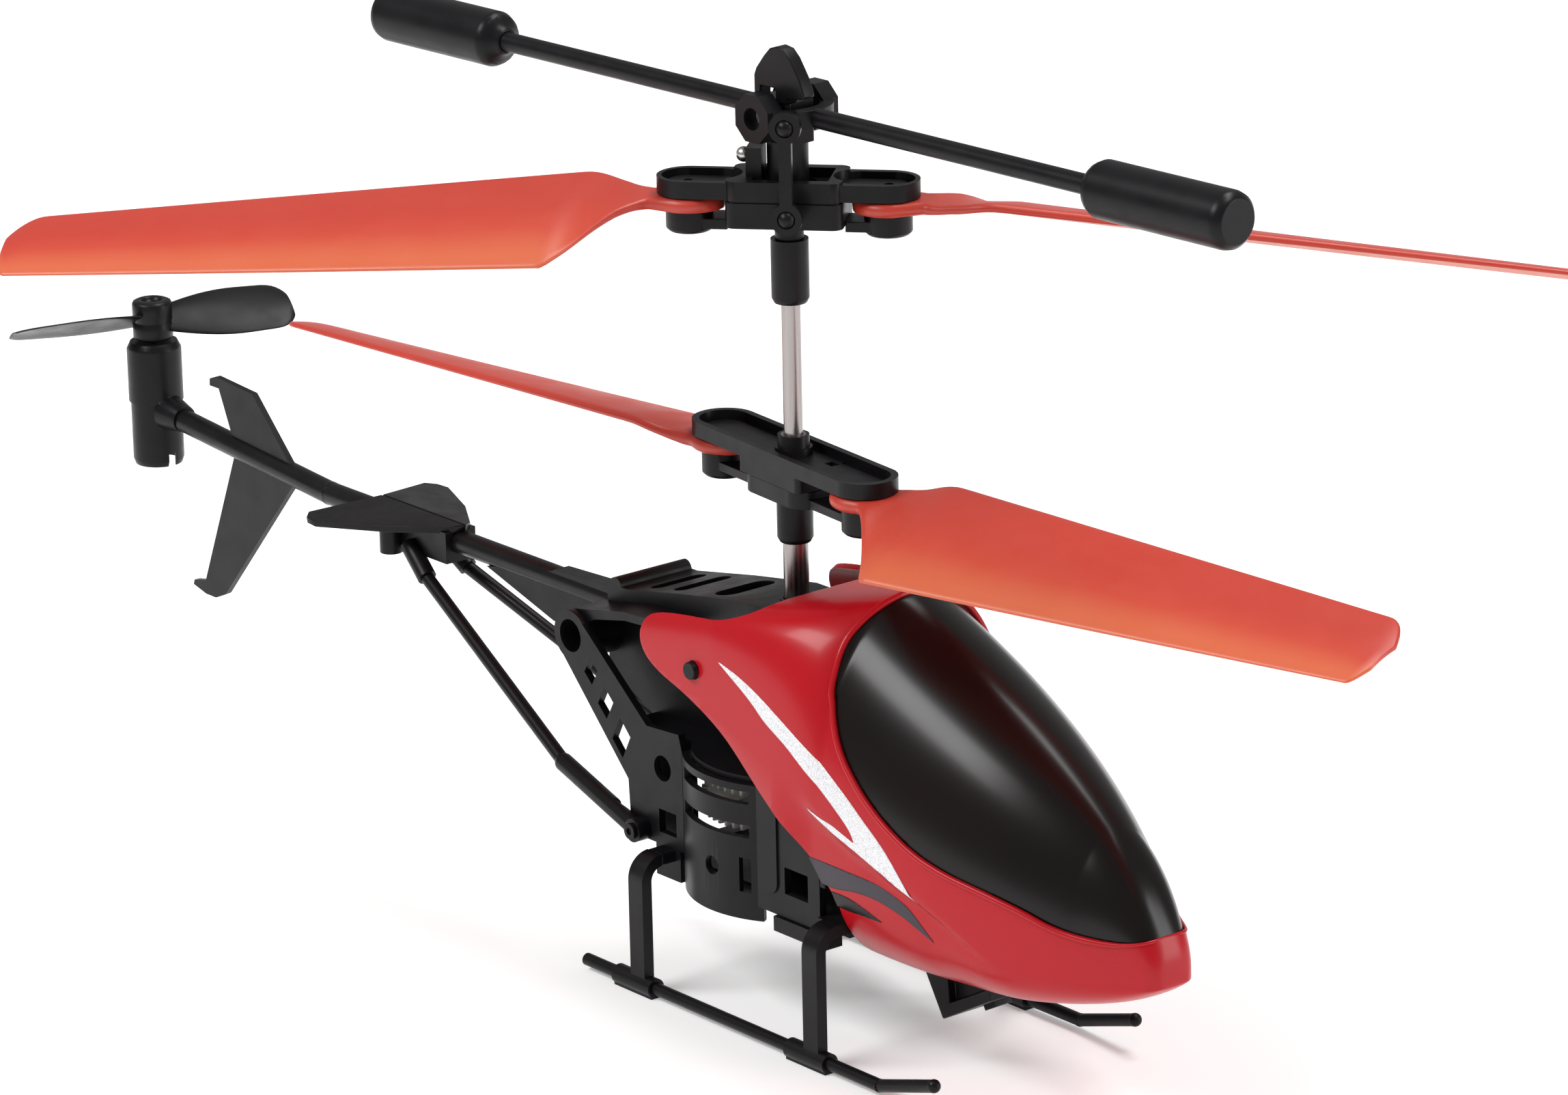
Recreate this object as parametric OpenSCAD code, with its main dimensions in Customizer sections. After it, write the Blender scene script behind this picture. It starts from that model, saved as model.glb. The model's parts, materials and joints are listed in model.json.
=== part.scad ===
// Remote control helicopter with two coaxial rotors, a flybar and a tail rotor.
// X points to the nose, Y to the helicopter's left and Z up. The origin is on
// the mast axis, on the ground under the skids.

/* [Airframe] */
// Radius from the mast to a main blade's tip
rotor_r = 96.5; // [90:0.1:105]
// Width of the canopy
canopy_w = 31.2; // [30:0.1:33]
// Distance from the mast to the canopy's nose
nose_x = 68; // [66:0.1:76]
// Height of the canopy roof over the ground
roof_z = 56.7; // [55:0.1:57]
// Thickness of the canopy shell
canopy_wall = 0.8; // [0.6:0.1:1]
// Half width of the canopy's blunt nose
nose_half = 2.9; // [2.5:0.1:3.5]
// Radius of the nose's upright corners
nose_round = 1.2; // [1:0.1:1.5]
// Distance from the mast back to the tail rotor's axis
tail_x = 137.2; // [130:0.1:150]
// Diameter of the tail boom
boom_d = 3.1; // [2.8:0.1:3.6]
// Width over the two side plates
frame_w = 22.6; // [22.4:0.1:23]
// Width of the upper frame
spine_w = 11.2; // [11:0.1:12]

/* [Landing gear] */
// Distance between the two skid rods
skid_gap = 31.7; // [30:0.1:36]
// Diameter of a skid rod
skid_d = 1.6; // [1.4:0.1:1.8]
// Outside diameter of the sleeves that hold the rods
sleeve_d = 2.5; // [2.4:0.1:2.6]

/* [Rotors] */
// Diameter of the inner shaft
shaft_d = 2.32; // [2.2:0.02:2.4]
// Outside diameter of the outer shaft
tube_d = 3.1; // [3.1:0.1:3.4]
// Height of the lower blade roots' middle
lower_z = 67; // [64:0.1:68]
// Height of the upper blade roots' middle
upper_z = 100.3; // [98:0.1:102]
// Height of the flybar
flybar_z = 111.4; // [111:0.1:112]
// Radius from the mast to a flybar weight's tip
flybar_r = 74.2; // [66:0.1:76]
// Radius of the tail rotor
tail_rotor_r = 19.7; // [17:0.1:21]
// Angle of the lower hub at rest
lower_hub_turn = -5.5; // [-20:0.5:20]
// Angle of the upper hub at rest
upper_hub_turn = 41.6; // [30:0.1:50]
// Angle of the flybar at rest
flybar_turn = 3.4; // [-6:0.1:10]

/* [Gears] */
// Teeth on each main gear
gear_teeth = 60; // [60:10:60]
// Teeth on each motor pinion
pinion_teeth = 10; // [10:10:10]

/* [Hidden] */
$fn = 48;

eps = 0.01;
black = "#2e2b2c";
red = "#b82c34";
orange = "#cf4637";
steel = "#b8b4b0";

// Landing gear
skid_y = skid_gap / 2;
skid_z = 1.3;
skid_rear_x = -23.3;
skid_bend_x = 33.4;
skid_tip_x = 43.3;
skid_rise = 2.9;
leg_w = 2.8;
leg_t = 1.5;
leg_bend_r = 3.2;
leg_top_z = 17.9;
rear_leg_x = -12.15;
front_leg_x = 21.4;
sleeve_l = 7.4;

// Gear train
gear_module = 0.4;
gear_r = gear_module * gear_teeth / 2;
pinion_r = gear_module * pinion_teeth / 2;
motor_x = gear_r + pinion_r;
outer_gear_z = 28.8;
inner_gear_z = 24.4;
gear_t = 1.6;
motor_r = 3.5;
motor_z = 32.6;
motor_l = 12;
motor_pin_r = 0.5;

// Side plates and gear barrel
plate_y = frame_w / 2 - 1;
plate_t = 1;
barrel_r = 14.4;
barrel_wall = 0.9;
barrel_z = 13.9;
barrel_top = 31.2;
front_plate_y = 11.8;
boss_x = -30.8;
boss_z = 40.8;
boss_r = 3.25;
boss_hole_r = 2.1;

// Upper frame
spine_z = 31.6;
spine_rear = -30.4;
spine_front = 19;
head_top = 113;
spine_wall = 1;
roof_bottom = 31;
roof_top = 31.9;

// Tail
boom_z = 41.8;
boom_kink_x = -97;
boom_end_x = -133.9;
boom_end_z = 44.7;
boom_slope = atan((boom_end_z - boom_z) / (boom_kink_x - boom_end_x));
housing_r = 3.7;
housing_z = 37.3;
housing_top = 54.4;
clamp_x = -83;
clamp_l = 14.5;
clamp_z = 39.2;
stay_eye_x = -16.9;
stay_eye_z = 19.3;
stay_out_y = 13.2;

// Belly wedge
belly_half = 4.5;
belly_slope = atan(4.8 / 8.8);
socket_r = 1.25;
socket_l = 2.8;

// Hubs
tube_r = tube_d / 2;
shaft_r = shaft_d / 2;
tube_bore = shaft_r + 0.06;
root_t = 1.8;
eye_r = 4.3;
pin_r = 0.8;
pin_fit = 0.07;
lower_pin_x = 15.2;
upper_pin_x = 12;
blade_lag = 12;
rear_blade_lag = 9.5;
hub_gap = 0.1;
flybar_pin_r = 0.75;
holder_pin_r = 0.7;
lug_x = 4.8;
lug_t = 1.9;
ball_r = 1.1;
ball_x = 8.3;
ball_shift = 1.1;
link_gap = 0.1;

// ---------------------------------------------------------------- helpers

// A rod of diameter d between two points
module rod(a, b, d) {
    v = b - a;
    l = norm(v);
    translate(a)
        rotate([0, acos(v[2] / l), atan2(v[1], v[0])])
            cylinder(d = d, h = l);
}

// An outline drawn in the X and Z directions, standing in the XZ plane
module upright(y0, y1) {
    translate([0, y1, 0])
        rotate([90, 0, 0])
            linear_extrude(y1 - y0)
                children();
}

// A flat bar with round ends, lying along X
module round_bar(half_l, r, h) {
    for (s = [-1, 1])
        translate([s * half_l, 0, 0])
            cylinder(r = r, h = h);
    translate([-half_l, -r, 0])
        cube([2 * half_l, 2 * r, h]);
}

// An upright block with rounded corners, centred on the Z axis
module rounded_block(l, w, h, r) {
    linear_extrude(h)
        offset(r = r)
            square([l - 2 * r, w - 2 * r], center = true);
}

// Both sides of the helicopter
module both_sides() {
    children();
    mirror([0, 1, 0])
        children();
}

// A spur gear's outline, with a tooth gap turned to the angle `phase`
function gear_points(teeth, root, tip, half_root, half_tip, phase) = [
    for (i = [0:teeth - 1], k = [0:3])
        let (
            mid = phase + (i + 0.5) * 360 / teeth,
            r = k == 1 || k == 2 ? tip : root,
            half = k == 1 || k == 2 ? half_tip : half_root,
            a = mid + (k < 2 ? -1 : 1) * asin(half / r)
        )
        [r * cos(a), r * sin(a)]
];

// ------------------------------------------------------------- main frame

module spine_outline() {
    polygon([
        [spine_rear, 35.5], [spine_rear, 46.6], [-26.5, 46.6], [-15, 48.7],
        [-3, 50.6], [spine_front, 50.6], [spine_front, spine_z], [-22, spine_z]
    ]);
}

module spine_hollow() {
    polygon([
        [spine_rear + 1, 36.4], [spine_rear + 1, 45.5], [-26.2, 45.5],
        [-15, 47.5], [-3, 49.4], [spine_front - 1, 49.4],
        [spine_front - 1, spine_z - 1], [-21.4, spine_z - 1]
    ]);
}

module top_slot(x, w, half_l) {
    for (s = [-1, 1])
        translate([x, s * half_l, 44])
            cylinder(d = w, h = 10);
    translate([x - w / 2, -half_l, 44])
        cube([w, 2 * half_l, 10]);
}

module main_frame() {
    half = spine_w / 2;
    color(black) {
        difference() {
            upright(-half, half)
                spine_outline();
            upright(-half + spine_wall, half - spine_wall)
                spine_hollow();
            top_slot(-23.2, 2.2, 3);
            top_slot(-18.4, 2.4, 3);
            top_slot(-10, 3.6, 2.4);
            translate([0, 0, 40])
                cylinder(r = tube_r + 0.6, h = 20);
            translate([spine_rear - 1, -1.25, 35.8])
                cube([4, 2.5, 9.6]);
        }
        // Transverse ridge at the rear of the top
        translate([spine_rear + 1.6, -half, 46.4])
            rotate([-90, 0, 0])
                cylinder(r = 1.2, h = spine_w);
        // Ring in front of the mast
        translate([6.2, 0, 50.4])
            difference() {
                cylinder(r = 2.3, h = 2);
                cylinder(r = 1.5, h = 3);
            }
        gearbox_roof();
        both_sides() {
            shoulder();
            // Arm to the front plate
            translate([11, half - eps, 33])
                cube([6, front_plate_y - half + eps, 3]);
            // Inner wall behind the side plate
            translate([-19, 8.3, 18])
                cube([9.2, 0.8, roof_top - 18]);
        }
    }
}

// Cover over the gears, under the two motors
module gearbox_roof() {
    difference() {
        union() {
            translate([0, 0, roof_bottom])
                cylinder(r = barrel_r - barrel_wall - 0.2, h = roof_top - roof_bottom);
            translate([-21.2, -9.1, roof_bottom])
                cube([17, 18.2, roof_top - roof_bottom]);
        }
        translate([0, 0, 30])
            cylinder(r = tube_r + 0.6, h = 3);
        for (s = [-1, 1])
            translate([s * motor_x, 0, 30])
                cylinder(r = 1.7, h = 3);
    }
}

// Curved shoulder from the upper frame to the side plate's boss
module shoulder() {
    half = spine_w / 2;
    difference() {
        union() {
            upright(half - eps, plate_y)
                polygon([
                    [boss_x - 0.6, 44], [-27.4, 44.8], [-21, 46], [-13, 46.4],
                    [-13, 45.4], [-21, 44.9], [-27, 43.6], [boss_x + 0.6, 42]
                ]);
            upright(half - eps, plate_y)
                translate([boss_x, boss_z])
                    circle(r = boss_r);
        }
        upright(half + 1.4, plate_y + 1)
            translate([boss_x, boss_z])
                circle(r = boss_hole_r);
    }
}

module rhombus(x, z, w, h) {
    polygon([
        [x - w / 2, z - h * 0.1], [x - w * 0.05, z + h / 2],
        [x + w / 2, z + h * 0.1], [x + w * 0.05, z - h / 2]
    ]);
}

// Rear half of a side plate, standing in the XZ plane
module rear_plate_outline() {
    difference() {
        union() {
            polygon([
                [boss_x - 2.95, boss_z - 1.4], [-19.8, 24.9], [-19.4, 18],
                [-9, 18], [-9, 31.2], [-9.6, 33.2], [-15.9, 32.8], [-28.6, 43.1]
            ]);
            translate([boss_x, boss_z])
                circle(r = boss_r);
        }
        translate([boss_x, boss_z])
            circle(r = boss_hole_r);
        rhombus(-26.8, 37.1, 2.7, 3.4);
        rhombus(-24, 33.7, 3.1, 4.1);
        rhombus(-21, 29.9, 3.6, 5.2);
        translate([-12.9, 28])
            circle(r = 1.65);
        translate([-13.8, 19.6])
            square([3.4, 3]);
    }
}

// Slot through the gear barrel between two directions and two heights
module barrel_slot(a0, a1, z0, z1) {
    rotate_extrude(start = a0, angle = a1 - a0)
        translate([barrel_r - 3, z0])
            square([6, z1 - z0]);
}

module side_plate() {
    a0 = -90 - asin(9.6 / barrel_r);
    a1 = -90 + asin(7.6 / barrel_r);
    color(black) {
        upright(-plate_y - plate_t, -plate_y)
            rear_plate_outline();
        // Clip round the rear cross bar
        translate([rear_leg_x - 2.4, -plate_y - plate_t, 13.9])
            difference() {
                cube([4.8, plate_t + 1, 4.1 + eps]);
                translate([2.4 - leg_w / 2, -1, leg_top_z - leg_t - 13.9])
                    cube([leg_w, 5, leg_t]);
            }
        difference() {
            rotate_extrude(start = a0, angle = a1 - a0)
                translate([barrel_r - barrel_wall, barrel_z])
                    square([barrel_wall, barrel_top - barrel_z]);
            barrel_slot(-118, -65, 28.7, 30.3);
            barrel_slot(-118, -65, 24.4, 26);
            barrel_slot(-71, -64.5, 17.4, 21.8);
            rotate([0, 0, -88.7])
                translate([8, 0, 19.8])
                    rotate([0, 90, 0])
                        cylinder(r = 1.2, h = 10);
        }
        // Front plate with the raised pad and its window
        difference() {
            union() {
                translate([7.2, -front_plate_y - 1, 15.9])
                    cube([spine_front - 7.2, 1, 18.6]);
                translate([7.8, -front_plate_y - 1.25, 20])
                    cube([3.4, 1, 12]);
                translate([9.5, -front_plate_y - 0.25, 20])
                    rotate([90, 0, 0])
                        cylinder(r = 1.7, h = 1);
            }
            translate([12.4, -20, 19])
                cube([4.4, 20, 3.4]);
        }
    }
}

module side_plate_right() {
    side_plate();
}

module side_plate_left() {
    mirror([0, 1, 0])
        side_plate();
}

// Floor of the gear box, which holds the lower bearing
module lower_deck() {
    color(black)
        difference() {
            union() {
                translate([-9, -front_plate_y + 1, 15.9])
                    cube([spine_front + 9, 2 * front_plate_y - 2, 1.4]);
                translate([0, 0, 15.9])
                    cylinder(r = 3.4, h = 4.6);
                for (s = [-1, 1])
                    translate([11, s > 0 ? front_plate_y - 1.1 : -front_plate_y, 15.9])
                        cube([spine_front - 11, 1.1, 1.4]);
            }
            translate([0, 0, 10])
                cylinder(r = 2.2, h = 20);
        }
}

module upper_bearing() {
    color(black)
        difference() {
            translate([0, 0, 48.6])
                cylinder(r = tube_r + 0.6, h = 2.1);
            translate([0, 0, 40])
                cylinder(r = tube_r + 0.07, h = 20);
        }
}

module lower_bearing() {
    color(steel)
        difference() {
            translate([0, 0, 16.5])
                cylinder(r = 2.2, h = 4);
            translate([0, 0, 17.1])
                cylinder(r = shaft_r + 0.07, h = 10);
        }
}

module frame_screws() {
    color(steel)
        both_sides()
            translate([14, -front_plate_y - 1, 30])
                rotate([90, 0, 0])
                    difference() {
                        cylinder(r1 = 1.2, r2 = 0.9, h = 0.6);
                        translate([-2, -0.15, 0.3])
                            cube([4, 0.3, 1]);
                    }
}

// ----------------------------------------------------------------- canopy

function nose_share(x, nose) = min(max((x - 22) / (nose - 22), 0), 1);
function corner_cut(t) = nose_round - sqrt(nose_round * nose_round - t * t);
function egg_half(x, nose) =
    canopy_w / 2 - (canopy_w / 2 - nose_half) * pow(nose_share(x, nose), 2.1)
        - corner_cut(min(max(x - nose + nose_round, 0), nose_round));
function egg_top(x, nose) =
    19.8 + (roof_z - 19.8) * sqrt(1 - nose_share(x, nose)) - 0.16 * max(22 - x, 0);
function egg_bottom(x, nose) =
    19.8 - 8.4 * pow(1 - pow(nose_share(x, nose), 2.4), 0.75);
function egg_middle(x, nose) = 19.8 + 10.7 * (1 - nose_share(x, nose));
function egg_power(x) =
    2 + 6 * min(max((22 - x) / 20, 0), 1) + 1.2 * min(max((x - 58) / 10, 0), 1);

// One cross-section of the canopy's egg shape, `inset` inside the skin
function egg_section(x, inset) =
    let (
        nose = nose_x - inset,
        half = max(egg_half(x, nose) - inset, 0.2),
        mid = egg_middle(x, nose),
        up = max(egg_top(x, nose) - mid - inset, 0.2),
        down = max(mid - egg_bottom(x, nose) - inset, 0.2)
    )
    [
        for (a = [0:10:350])
            let (p = 2 / (sin(a) > 0 ? egg_power(x) : 2.6))
            [
                half * sign(cos(a)) * pow(abs(cos(a)), p),
                mid + (sin(a) > 0 ? up : down) * sign(sin(a)) * pow(abs(sin(a)), p)
            ]
    ];

module egg_slice(x, inset) {
    translate([x, 0, 0])
        rotate([90, 0, 90])
            linear_extrude(eps)
                polygon(egg_section(x, inset));
}

module egg(inset, rear) {
    nose = nose_x - inset - eps;
    steps = 14;
    places = concat(
        [for (i = [0:steps]) nose - 1.3 - (nose - 1.3 - rear) * pow(1 - i / steps, 1.3)],
        [nose - 0.6, nose - 0.2, nose]
    );
    for (i = [0:len(places) - 2])
        hull() {
            egg_slice(places[i], inset);
            egg_slice(places[i + 1], inset);
        }
}

// Everything in front of and above the windshield's rim, seen from the side
module window_outline(shift) {
    offset(delta = -shift)
        polygon([
            [21.6, 70], [21.6, 57.5], [21.1, 54.6], [20.9, 52.5], [21.2, 49.6],
            [21.9, 45.9], [24.4, 41.3], [27.9, 37.6], [32.2, 34.3], [37.3, 31.4],
            [42, 29.7], [47.8, 28.3], [52.4, 27], [56, 25.7], [59.4, 25],
            [63, 24.8], [66, 25.2], [68.6, 26.2], [75, 30], [75, 70]
        ]);
}

// Everything behind the canopy's rear edge, seen from the side
module behind_canopy() {
    polygon([
        [-20, 0], [23.2, 0], [23.2, 20.4], [22.2, 22.2], [19.6, 25.6],
        [14.8, 29.7], [9.8, 33.6], [4.7, 37.9], [-7.6, 42.9], [-10.4, 44.6],
        [-11.5, 46.8], [-10.6, 49], [-8, 50], [2.7, 51.6], [7, 53.2], [9, 54.6],
        [9.4, 70], [-20, 70]
    ]);
}

module canopy() {
    color(red)
        difference() {
            egg(0, -14);
            egg(canopy_wall, -15);
            upright(-30, 30)
                window_outline(0);
            upright(-30, 30)
                behind_canopy();
            translate([28.2, -belly_half - 0.4, 0])
                cube([13, 2 * belly_half + 0.8, 16]);
            rotate([90, 0, 0])
                translate([-0.9, 44.7, -30])
                    cylinder(r = 1.15, h = 60);
        }
}

module windshield() {
    color("#231f20")
        intersection() {
            difference() {
                egg(0.25, 18);
                egg(0.95, 17);
            }
            upright(-30, 30)
                window_outline(0.1);
        }
}

// Posts on the frame that the canopy's ears snap over
module canopy_pegs() {
    color(black)
        both_sides()
            translate([-0.9, -spine_w / 2, 44.7])
                rotate([90, 0, 0]) {
                    cylinder(r = 1.7, h = 14.5 - spine_w / 2);
                    cylinder(r = 1.1, h = canopy_w / 2 + 0.7 - spine_w / 2);
                }
}

// ------------------------------------------------------------------- tail

module boom_core(d) {
    rod([spine_rear - 3, 0, boom_z], [boom_kink_x, 0, boom_z], d);
    translate([boom_kink_x, 0, boom_z])
        sphere(d = d + 0.12);
    rod([boom_kink_x, 0, boom_z], [boom_end_x, 0, boom_end_z], d);
}

module tail_boom() {
    color(black)
        boom_core(boom_d);
}

// Web that the boom is moulded into, gripped by the upper frame
module boom_socket() {
    color(black)
        difference() {
            union() {
                upright(-1.2, 1.2)
                    polygon([
                        [-61.5, boom_z - 1.4], [-47.6, 36.4], [-30.4 + 2.4, 36.4],
                        [-28, 44.8], [-30.6, 44.8], [-36.5, 43.8], [-47.2, 43.3],
                        [-47.6, boom_z + 1.2]
                    ]);
                translate([-30.6, -2.6, 37])
                    cube([0.2, 5.2, 8]);
            }
            boom_core(boom_d);
        }
}

// One half of the stabilizer, `h` thick, hanging slightly to its side
module stabilizer_side(h) {
    translate([0, 0, 43.4])
        rotate([7, 0, 0])
            linear_extrude(h)
                polygon([
                    [-67.5, 0], [-68.6, -1.6], [-76, -6.4], [-85.6, -10.8],
                    [-87.7, -10.6], [-89, -9.3], [-85.5, 0]
                ]);
}

module stabilizer() {
    color(black)
        both_sides()
            stabilizer_side(0.9);
}

// Saddle that grips the boom under the stabilizer
module stabilizer_clamp() {
    color(black)
        difference() {
            union() {
                translate([clamp_x, -2.4, clamp_z])
                    cube([clamp_l, 4.8, 4.2]);
                both_sides()
                    translate([-79.4, -3.2, 38.6])
                        cylinder(r = 1.5, h = 4.4);
            }
            boom_core(boom_d);
            both_sides()
                stabilizer_side(4);
        }
}

module tail_fin() {
    color(black)
        difference() {
            upright(-0.45, 0.45)
                polygon([
                    [-123.6, 51], [-123.5, 52], [-122.2, 52.5], [-113.7, 51.9],
                    [-105.3, 43.6], [-105.2, 41], [-122, 22], [-124.4, 20.9],
                    [-126.7, 20.9], [-129.6, 21.6], [-129.4, 22.3], [-126.7, 22.8],
                    [-118.6, 42], [-119.1, 45.6], [-121.5, 51]
                ]);
            boom_core(boom_d);
        }
}

// Diagonal stay from the stabilizer clamp to the side plate
module strut() {
    top = [-76.2, -2.6, 40.2];
    collar = [-71.6, -3.3, 36.9];
    elbow = [-35.9, -9, 22.3];
    eye = [stay_eye_x, -12.3, stay_eye_z];
    color(black)
        difference() {
            union() {
                rod(top, collar, 2.5);
                rod(collar, elbow, 1.8);
                translate(elbow)
                    sphere(d = 2.4);
                rod(elbow, eye, 2.4);
                translate([eye[0], -stay_out_y, eye[2]])
                    rotate([-90, 0, 0])
                        cylinder(r = 1.5, h = stay_out_y - frame_w / 2);
            }
            translate([clamp_x, -2.4, clamp_z])
                cube([clamp_l, 4.8, 4.2]);
            // Flat faces of the eye, against the side plate and the screw
            translate([-23, -frame_w / 2, 14])
                cube([12, 5, 12]);
            translate([-23, -stay_out_y - 5, 14])
                cube([12, 5, 12]);
            translate([eye[0], -20, eye[2]])
                rotate([-90, 0, 0])
                    cylinder(r = 0.6, h = 20);
        }
}

module strut_right() {
    strut();
}

module strut_left() {
    mirror([0, 1, 0])
        strut();
}

module strut_screws() {
    color(black)
        both_sides()
            translate([stay_eye_x, -stay_out_y, stay_eye_z])
                rotate([90, 0, 0])
                    difference() {
                        union() {
                            cylinder(r = 1, h = 0.5);
                            translate([0, 0, -1.9])
                                cylinder(r = 0.6, h = 2);
                        }
                        translate([0, 0, 0.2])
                            cylinder(r = 0.5, h = 1, $fn = 6);
                    }
}

module tail_motor_housing() {
    color(black)
        difference() {
            union() {
                translate([-tail_x, 0, housing_z])
                    cylinder(r1 = 3.2, r2 = 3.45, h = 0.8);
                translate([-tail_x, 0, housing_z + 0.8])
                    cylinder(r = 3.45, h = 8);
                translate([-tail_x, 0, housing_z + 8.8])
                    cylinder(r = housing_r, h = housing_top - housing_z - 9.8);
                translate([-tail_x, 0, housing_top - 1])
                    cylinder(r1 = housing_r, r2 = housing_r - 0.5, h = 1);
                translate([-tail_x + 3, 0, boom_end_z + 0.2])
                    rotate([0, 90 + boom_slope, 0])
                        cylinder(d1 = 5, d2 = 3.6, h = 3.6);
            }
            translate([-tail_x, 0, housing_z - 1])
                cylinder(r = 3, h = 16.9);
            translate([-tail_x, 0, housing_z])
                cylinder(r = 1.2, h = 30);
            translate([-tail_x, -0.6, housing_z - 1])
                cube([6, 1.2, 2.8]);
            boom_core(boom_d);
        }
}

module tail_motor() {
    color(steel) {
        translate([-tail_x, 0, housing_z + 3.7])
            cylinder(r = 3, h = 12);
        translate([-tail_x, 0, housing_z + 15.6])
            cylinder(r = 1.2, h = 1);
        translate([-tail_x, 0, housing_z + 16.5])
            cylinder(r = 0.4, h = 5);
    }
}

// Half width of a tail blade, a blunt paddle, at a share of its length
function tail_half_chord(u) =
    4.7 * (0.5 + 0.5 * sin(90 * min(u / 0.62, 1)))
        * sqrt(1 - 0.85 * pow(max((u - 0.78) / 0.22, 0), 3));

module tail_blade() {
    places = [0.03, 0.1, 0.2, 0.35, 0.5, 0.65, 0.78, 0.87, 0.93, 0.97, 0.99];
    for (i = [0:len(places) - 2])
        hull()
            for (u = [places[i], places[i + 1]]) {
                c = tail_half_chord(u);
                rotate([32 - 9 * u, 0, 0])
                    translate([1.6 + (tail_rotor_r - 1.6) * u, -c, -0.3])
                        cube([0.05, 2 * c, 0.6]);
            }
}

module tail_rotor() {
    base = housing_top + 0.3;
    color(black)
        difference() {
            union() {
                translate([-tail_x, 0, base])
                    cylinder(r = 2.7, h = 4.9);
                translate([-tail_x, 0, base + 4.9])
                    cylinder(r1 = 2.7, r2 = 2.3, h = 0.5);
                for (a = [71, 251])
                    translate([-tail_x, 0, base + 2.5])
                        rotate([0, 0, a])
                            tail_blade();
            }
            translate([-tail_x, 0, 50])
                cylinder(r = 0.46, h = 9);
            translate([-tail_x, 0, base + 4.9])
                cylinder(r = 1.3, h = 1);
        }
}

// ----------------------------------------------------------- landing gear

module skid() {
    color(black) {
        rod([skid_rear_x, -skid_y, skid_z], [skid_bend_x, -skid_y, skid_z], skid_d);
        translate([skid_bend_x, -skid_y, skid_z])
            sphere(d = skid_d + 0.1);
        rod(
            [skid_bend_x, -skid_y, skid_z],
            [skid_tip_x, -skid_y, skid_z + skid_rise],
            skid_d
        );
        translate([skid_tip_x, -skid_y, skid_z + skid_rise])
            sphere(d = skid_d + 0.1);
    }
}

module skid_right() {
    skid();
}

module skid_left() {
    mirror([0, 1, 0])
        skid();
}

// A flat strip leg that bends inwards at its top, with its rod sleeve
module leg(x) {
    bend_y = skid_y + leg_t / 2 - leg_bend_r;
    bend_z = leg_top_z - leg_bend_r;
    color(black)
        difference() {
            union() {
                translate([x - leg_w / 2, -skid_y - leg_t / 2, skid_z])
                    cube([leg_w, leg_t, bend_z - skid_z]);
                translate([x - leg_w / 2, -bend_y, bend_z])
                    rotate([90, 0, 90])
                        rotate_extrude(start = 90, angle = 90)
                            translate([leg_bend_r - leg_t, 0])
                                square([leg_t, leg_w]);
                translate([x - sleeve_l / 2 - 1, -skid_y, skid_z])
                    rotate([0, 90, 0])
                        cylinder(d = sleeve_d, h = sleeve_l);
                translate([x - sleeve_l / 2 - 1, -skid_y - 0.8, 0])
                    cube([sleeve_l, 1.6, 0.9]);
            }
            rod([-40, -skid_y, skid_z], [60, -skid_y, skid_z], skid_d);
        }
}

module rear_leg_right() {
    leg(rear_leg_x);
}

module rear_leg_left() {
    mirror([0, 1, 0])
        leg(rear_leg_x);
}

module front_leg_right() {
    leg(front_leg_x);
}

module front_leg_left() {
    mirror([0, 1, 0])
        leg(front_leg_x);
}

module cross_bar(x) {
    half = skid_y + leg_t / 2 - leg_bend_r;
    translate([x - leg_w / 2, -half, leg_top_z - leg_t])
        cube([leg_w, 2 * half, leg_t]);
}

module rear_cross_bar() {
    color(black)
        cross_bar(rear_leg_x);
}

// The front bar has two tongues that run back under the front plates
module front_cross_bar() {
    color(black) {
        cross_bar(front_leg_x);
        both_sides()
            difference() {
                union() {
                    translate([10.6, -13.2, 13.9])
                        cube([9.6, 2.8, 1.9]);
                    translate([spine_front, -13.2, 13.9])
                        cube([1.2, 2.8, 4]);
                }
                translate([12.4, -11.8, 12])
                    cylinder(r = 0.6, h = 5);
            }
    }
}

// ------------------------------------------------------ drive and battery

module motor(x, pin_low) {
    color(steel) {
        translate([x, 0, motor_z])
            cylinder(r = motor_r, h = motor_l);
        translate([x, 0, motor_z - 0.6])
            cylinder(r = 1.2, h = 0.7);
        translate([x, 0, pin_low])
            cylinder(r = motor_pin_r, h = motor_z - pin_low);
    }
}

module front_motor() {
    motor(motor_x, inner_gear_z - 0.6);
}

module rear_motor() {
    motor(-motor_x, outer_gear_z - 0.6);
}

module pinion(x, z) {
    color("#c9a24b")
        translate([x, 0, z])
            difference() {
                linear_extrude(gear_t + 0.4)
                    polygon(gear_points(
                        pinion_teeth, 1.4, 2.36, 0.3, 0.17,
                        x > 0 ? 180 - 180 / pinion_teeth : -180 / pinion_teeth
                    ));
                translate([0, 0, -1])
                    cylinder(r = motor_pin_r + 0.06, h = 5);
            }
}

module front_pinion() {
    pinion(motor_x, inner_gear_z - 0.2);
}

module rear_pinion() {
    pinion(-motor_x, outer_gear_z - 0.2);
}

module spur_gear(z, bore, hub_z, hub_h) {
    difference() {
        union() {
            translate([0, 0, z])
                linear_extrude(gear_t)
                    polygon(gear_points(gear_teeth, 11.4, 12.36, 0.34, 0.18, 0));
            translate([0, 0, hub_z])
                cylinder(r = 3, h = hub_h);
        }
        cylinder(r = bore, h = 60);
        for (a = [0:60:300])
            rotate([0, 0, a + 30])
                translate([7.4, 0, z - 1])
                    cylinder(r = 2.2, h = 5);
    }
}

module battery() {
    color("#9aa3ad")
        translate([24, -8, 23.4])
            cube([26, 16, 6.4]);
}

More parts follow.
